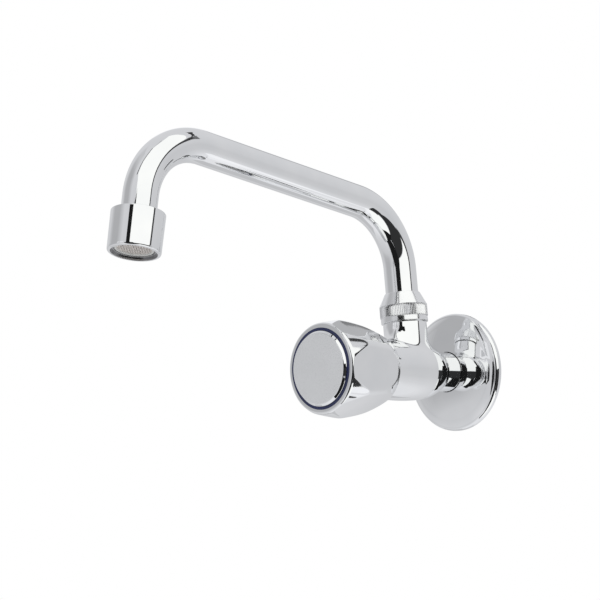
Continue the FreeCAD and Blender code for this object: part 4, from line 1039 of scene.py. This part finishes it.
def card(name, corners, shades, inset=0.0, steps=24):
    """A sheet on the tent between four corners of (azimuth, elevation) in degrees.

    Azimuth 0 is along X, and -90 is straight in front of the tap. Shades are one brightness or
    a list of stops. The inset says how far inside the tent it hangs.
    """
    first, second, third, fourth = [np.array(corner, float) for corner in corners]
    stops = shades if isinstance(shades, list) else [(0.0, shades)]
    verts = []
    tones = []
    for u in np.arange(steps + 1) / steps:
        for v in np.arange(steps + 1) / steps:
            bottom, top = (1 - u) * first + u * second, (1 - u) * fourth + u * third
            place = (1 - v) * bottom + v * top
            verts.append(on_tent(*place, inset))
            tones.append(shade_at(place[1], stops))
    row = steps + 1
    starts = [i * row + j for i in range(steps) for j in range(steps)]
    mesh = bpy.data.meshes.new(name)
    mesh.from_pydata(verts, [], [(k, k + 1, k + row + 1, k + row) for k in starts])
    layer = mesh.color_attributes.new("shade", "FLOAT_COLOR", "POINT")
    for spot, tone in zip(layer.data, tones):
        spot.color = (tone * TINT[0], tone * TINT[1], min(tone * TINT[2], BRIGHTEST_BLUE), 1.0)
    mesh.materials.append(card_light)
    made = bpy.data.objects.new(name, mesh)
    made.visible_camera = False
    made.visible_diffuse = False
    made.visible_shadow = False
    bpy.context.scene.collection.objects.link(made)


def box_of(left, right, bottom, top):
    """The four corners of an upright card."""
    return [(left, bottom), (right, bottom), (right, top), (left, top)]


TENT_SHADES = [(-60, 0.84), (-46, 0.82), (-36, 0.72), (-20, 0.635), (0, 0.62), (14, 0.66)]
TENT_SHADES += [(45, 0.70)]
card("tent", box_of(-180, 180, -90, 90), TENT_SHADES, steps=90)

# The side beyond the knob is darker, and fades into the rest through nested sheets
SIDE_SHADES = [(-60, 0.85), (-42, 0.70), (-17, 0.63), (-8, 0.50), (0, 0.47), (45, 0.45), (60, 0.60)]
SIDE_SHEETS = 8
SIDE_MARGIN = 3.0
for step in range(SIDE_SHEETS):
    fade = (step + 1) / SIDE_SHEETS
    shades = []
    for elevation, shade in SIDE_SHADES:
        shades.append((elevation, fade * shade + (1 - fade) * shade_at(elevation, TENT_SHADES)))
    margin = SIDE_MARGIN * step
    sheet = box_of(-172 + margin, -98 - margin, -90, 70)
    card(f"side_wall_{step}", sheet, shades, GROUND_LAYER + SIDE_LAYER_STEP * step, steps=48)

# A tall window that leans in overhead, and its frame
card("high_window", [(-56, -2), (24, -2), (39.5, 40), (-66, 40)], WHITE, WINDOW_LAYER)
card("upper_window", [(-66, 40), (39.5, 40), (43, 48), (-74, 48)], WHITE, WINDOW_LAYER)
card("roof_window", [(-74, 48), (43, 48), (50, 62), (-71, 62)], WHITE, WINDOW_LAYER)
card("roof_window_top", [(-71, 62), (50, 62), (66, 78), (-45, 78)], WHITE, WINDOW_LAYER)
card("window_frame_left", [(-86, 47), (-80, 47), (-72.5, 62), (-78.5, 62)], 0.06, FRAME_LAYER)
card("window_frame_left_top", [(-78.5, 62), (-72.5, 62), (-47, 78), (-59, 78)], 0.06, FRAME_LAYER)
card("window_frame_roof", [(-59, 78), (-47, 78), (20, 81), (20, 84)], 0.40, FRAME_LAYER)
card("window_frame_foot", [(16.5, -4.5), (23.5, -4.5), (33.5, 8), (25, 8)], FRAME_DARK, FRAME_LAYER)
card("window_frame_right", [(25, 8), (33.5, 8), (43, 37), (40.2, 37)], FRAME_DARK, FRAME_LAYER)
frame_corner = [(41, 37), (42.4, 37), (47.6, 43.4), (46.2, 43.9)]
frame_top = [(46.2, 43.8), (47.8, 42.6), (59.5, 53), (56.5, 55.5)]
frame_top_end = [(56.5, 55.5), (59.5, 53), (74, 57.5), (70, 62)]
card("window_frame_corner", frame_corner, FRAME_DARK, FRAME_LAYER)
card("window_frame_top", frame_top, FRAME_DARK, FRAME_LAYER)
card("window_frame_top_end", frame_top_end, FRAME_DARK, FRAME_LAYER)
card("frame_shade", [(39.3, 26), (42, 26), (46, 37), (43, 37)], 0.16, FRAME_LAYER)
card("frame_shade_corner", [(43, 37), (46, 37), (49.5, 42), (47.3, 42.8)], 0.20, FRAME_LAYER)

# Pale ground under the tap, the dark edge where it ends, and the line that draws the crescent
# in the gap behind the knob
card("floor_card", [(-85, -86), (40, -86), (40, -40), (-85, -38)], WHITE, GROUND_LAYER)
card("flag_toe", [(20, -42.5), (40, -42.5), (36, -33.5), (20, -33.5)], DARK, FLAG_LAYER)
card("flag_heel", [(20, -34), (36.2, -34), (33, -24), (20, -24)], DARK, FLAG_LAYER)
card("floor_card_edge", box_of(40, 50.5, -60, -41), 0.98, GROUND_LAYER)
card("floor_card_far", box_of(50.5, 66, -66, -52.5), 0.93, GROUND_LAYER)
card("low_line", [(60, -56.7), (69, -57.6), (69, -56.3), (60.5, -55.2)], 0.05, LINE_LAYER)
card("rear_line", [(70.5, -9), (76, -9), (76, -0.6), (71.2, -0.6)], BLACK, LINE_LAYER)
card("low_back", [(121, -57), (190, -55), (190, -31), (121, -31)], 0.57, BACK_LAYER)
card("low_flag", box_of(-104, -80, -70, -52), BLACK, TALL_LAYER)

# The dark part of the room round the camera, below the window and to its left
card("long_flag", [(-48, -38), (22.5, -38), (21.5, -3), (-48, -3)], DARK, FLAG_LAYER)
card("tall_flag", [(-90, -74), (-54, -64), (-46, -4), (-84, -4)], BLACK, TALL_LAYER)
card("flag_corner", [(-56, -66), (-38, -53), (-28, -36), (-50, -36)], BLACK, TALL_LAYER)
card("tall_flag_middle", [(-77, -4), (-41, -4), (-48, 14), (-77, 14)], BLACK, TALL_LAYER)
card("tall_flag_edge", [(-83.5, -4), (-76, -4), (-76, 8), (-80, 8)], BLACK, TALL_LAYER)
card("tall_flag_top", box_of(-75, -59, 14, 31), BLACK, TALL_LAYER)

# Cards for the cap's bevel, and what the chrome's outlines mirror from behind the tap
card("bevel_card", box_of(-114, -86, 10, 26), 0.84, TALL_LAYER)
card("bevel_shade", box_of(-108, -101, 8, 26), 0.68, FRONT_LAYER)
card("far_card", box_of(127, 152, 13, 38), 0.95, WINDOW_LAYER)
card("far_shade", box_of(112, 125, 18, 40), 0.48, WINDOW_LAYER)
card("far_line", [(118.7, 31), (123.0, 20), (123.5, 20.5), (119.2, 31.5)], 0.22, FLAG_LAYER)

bpy.context.scene.view_settings.view_transform = "Standard"
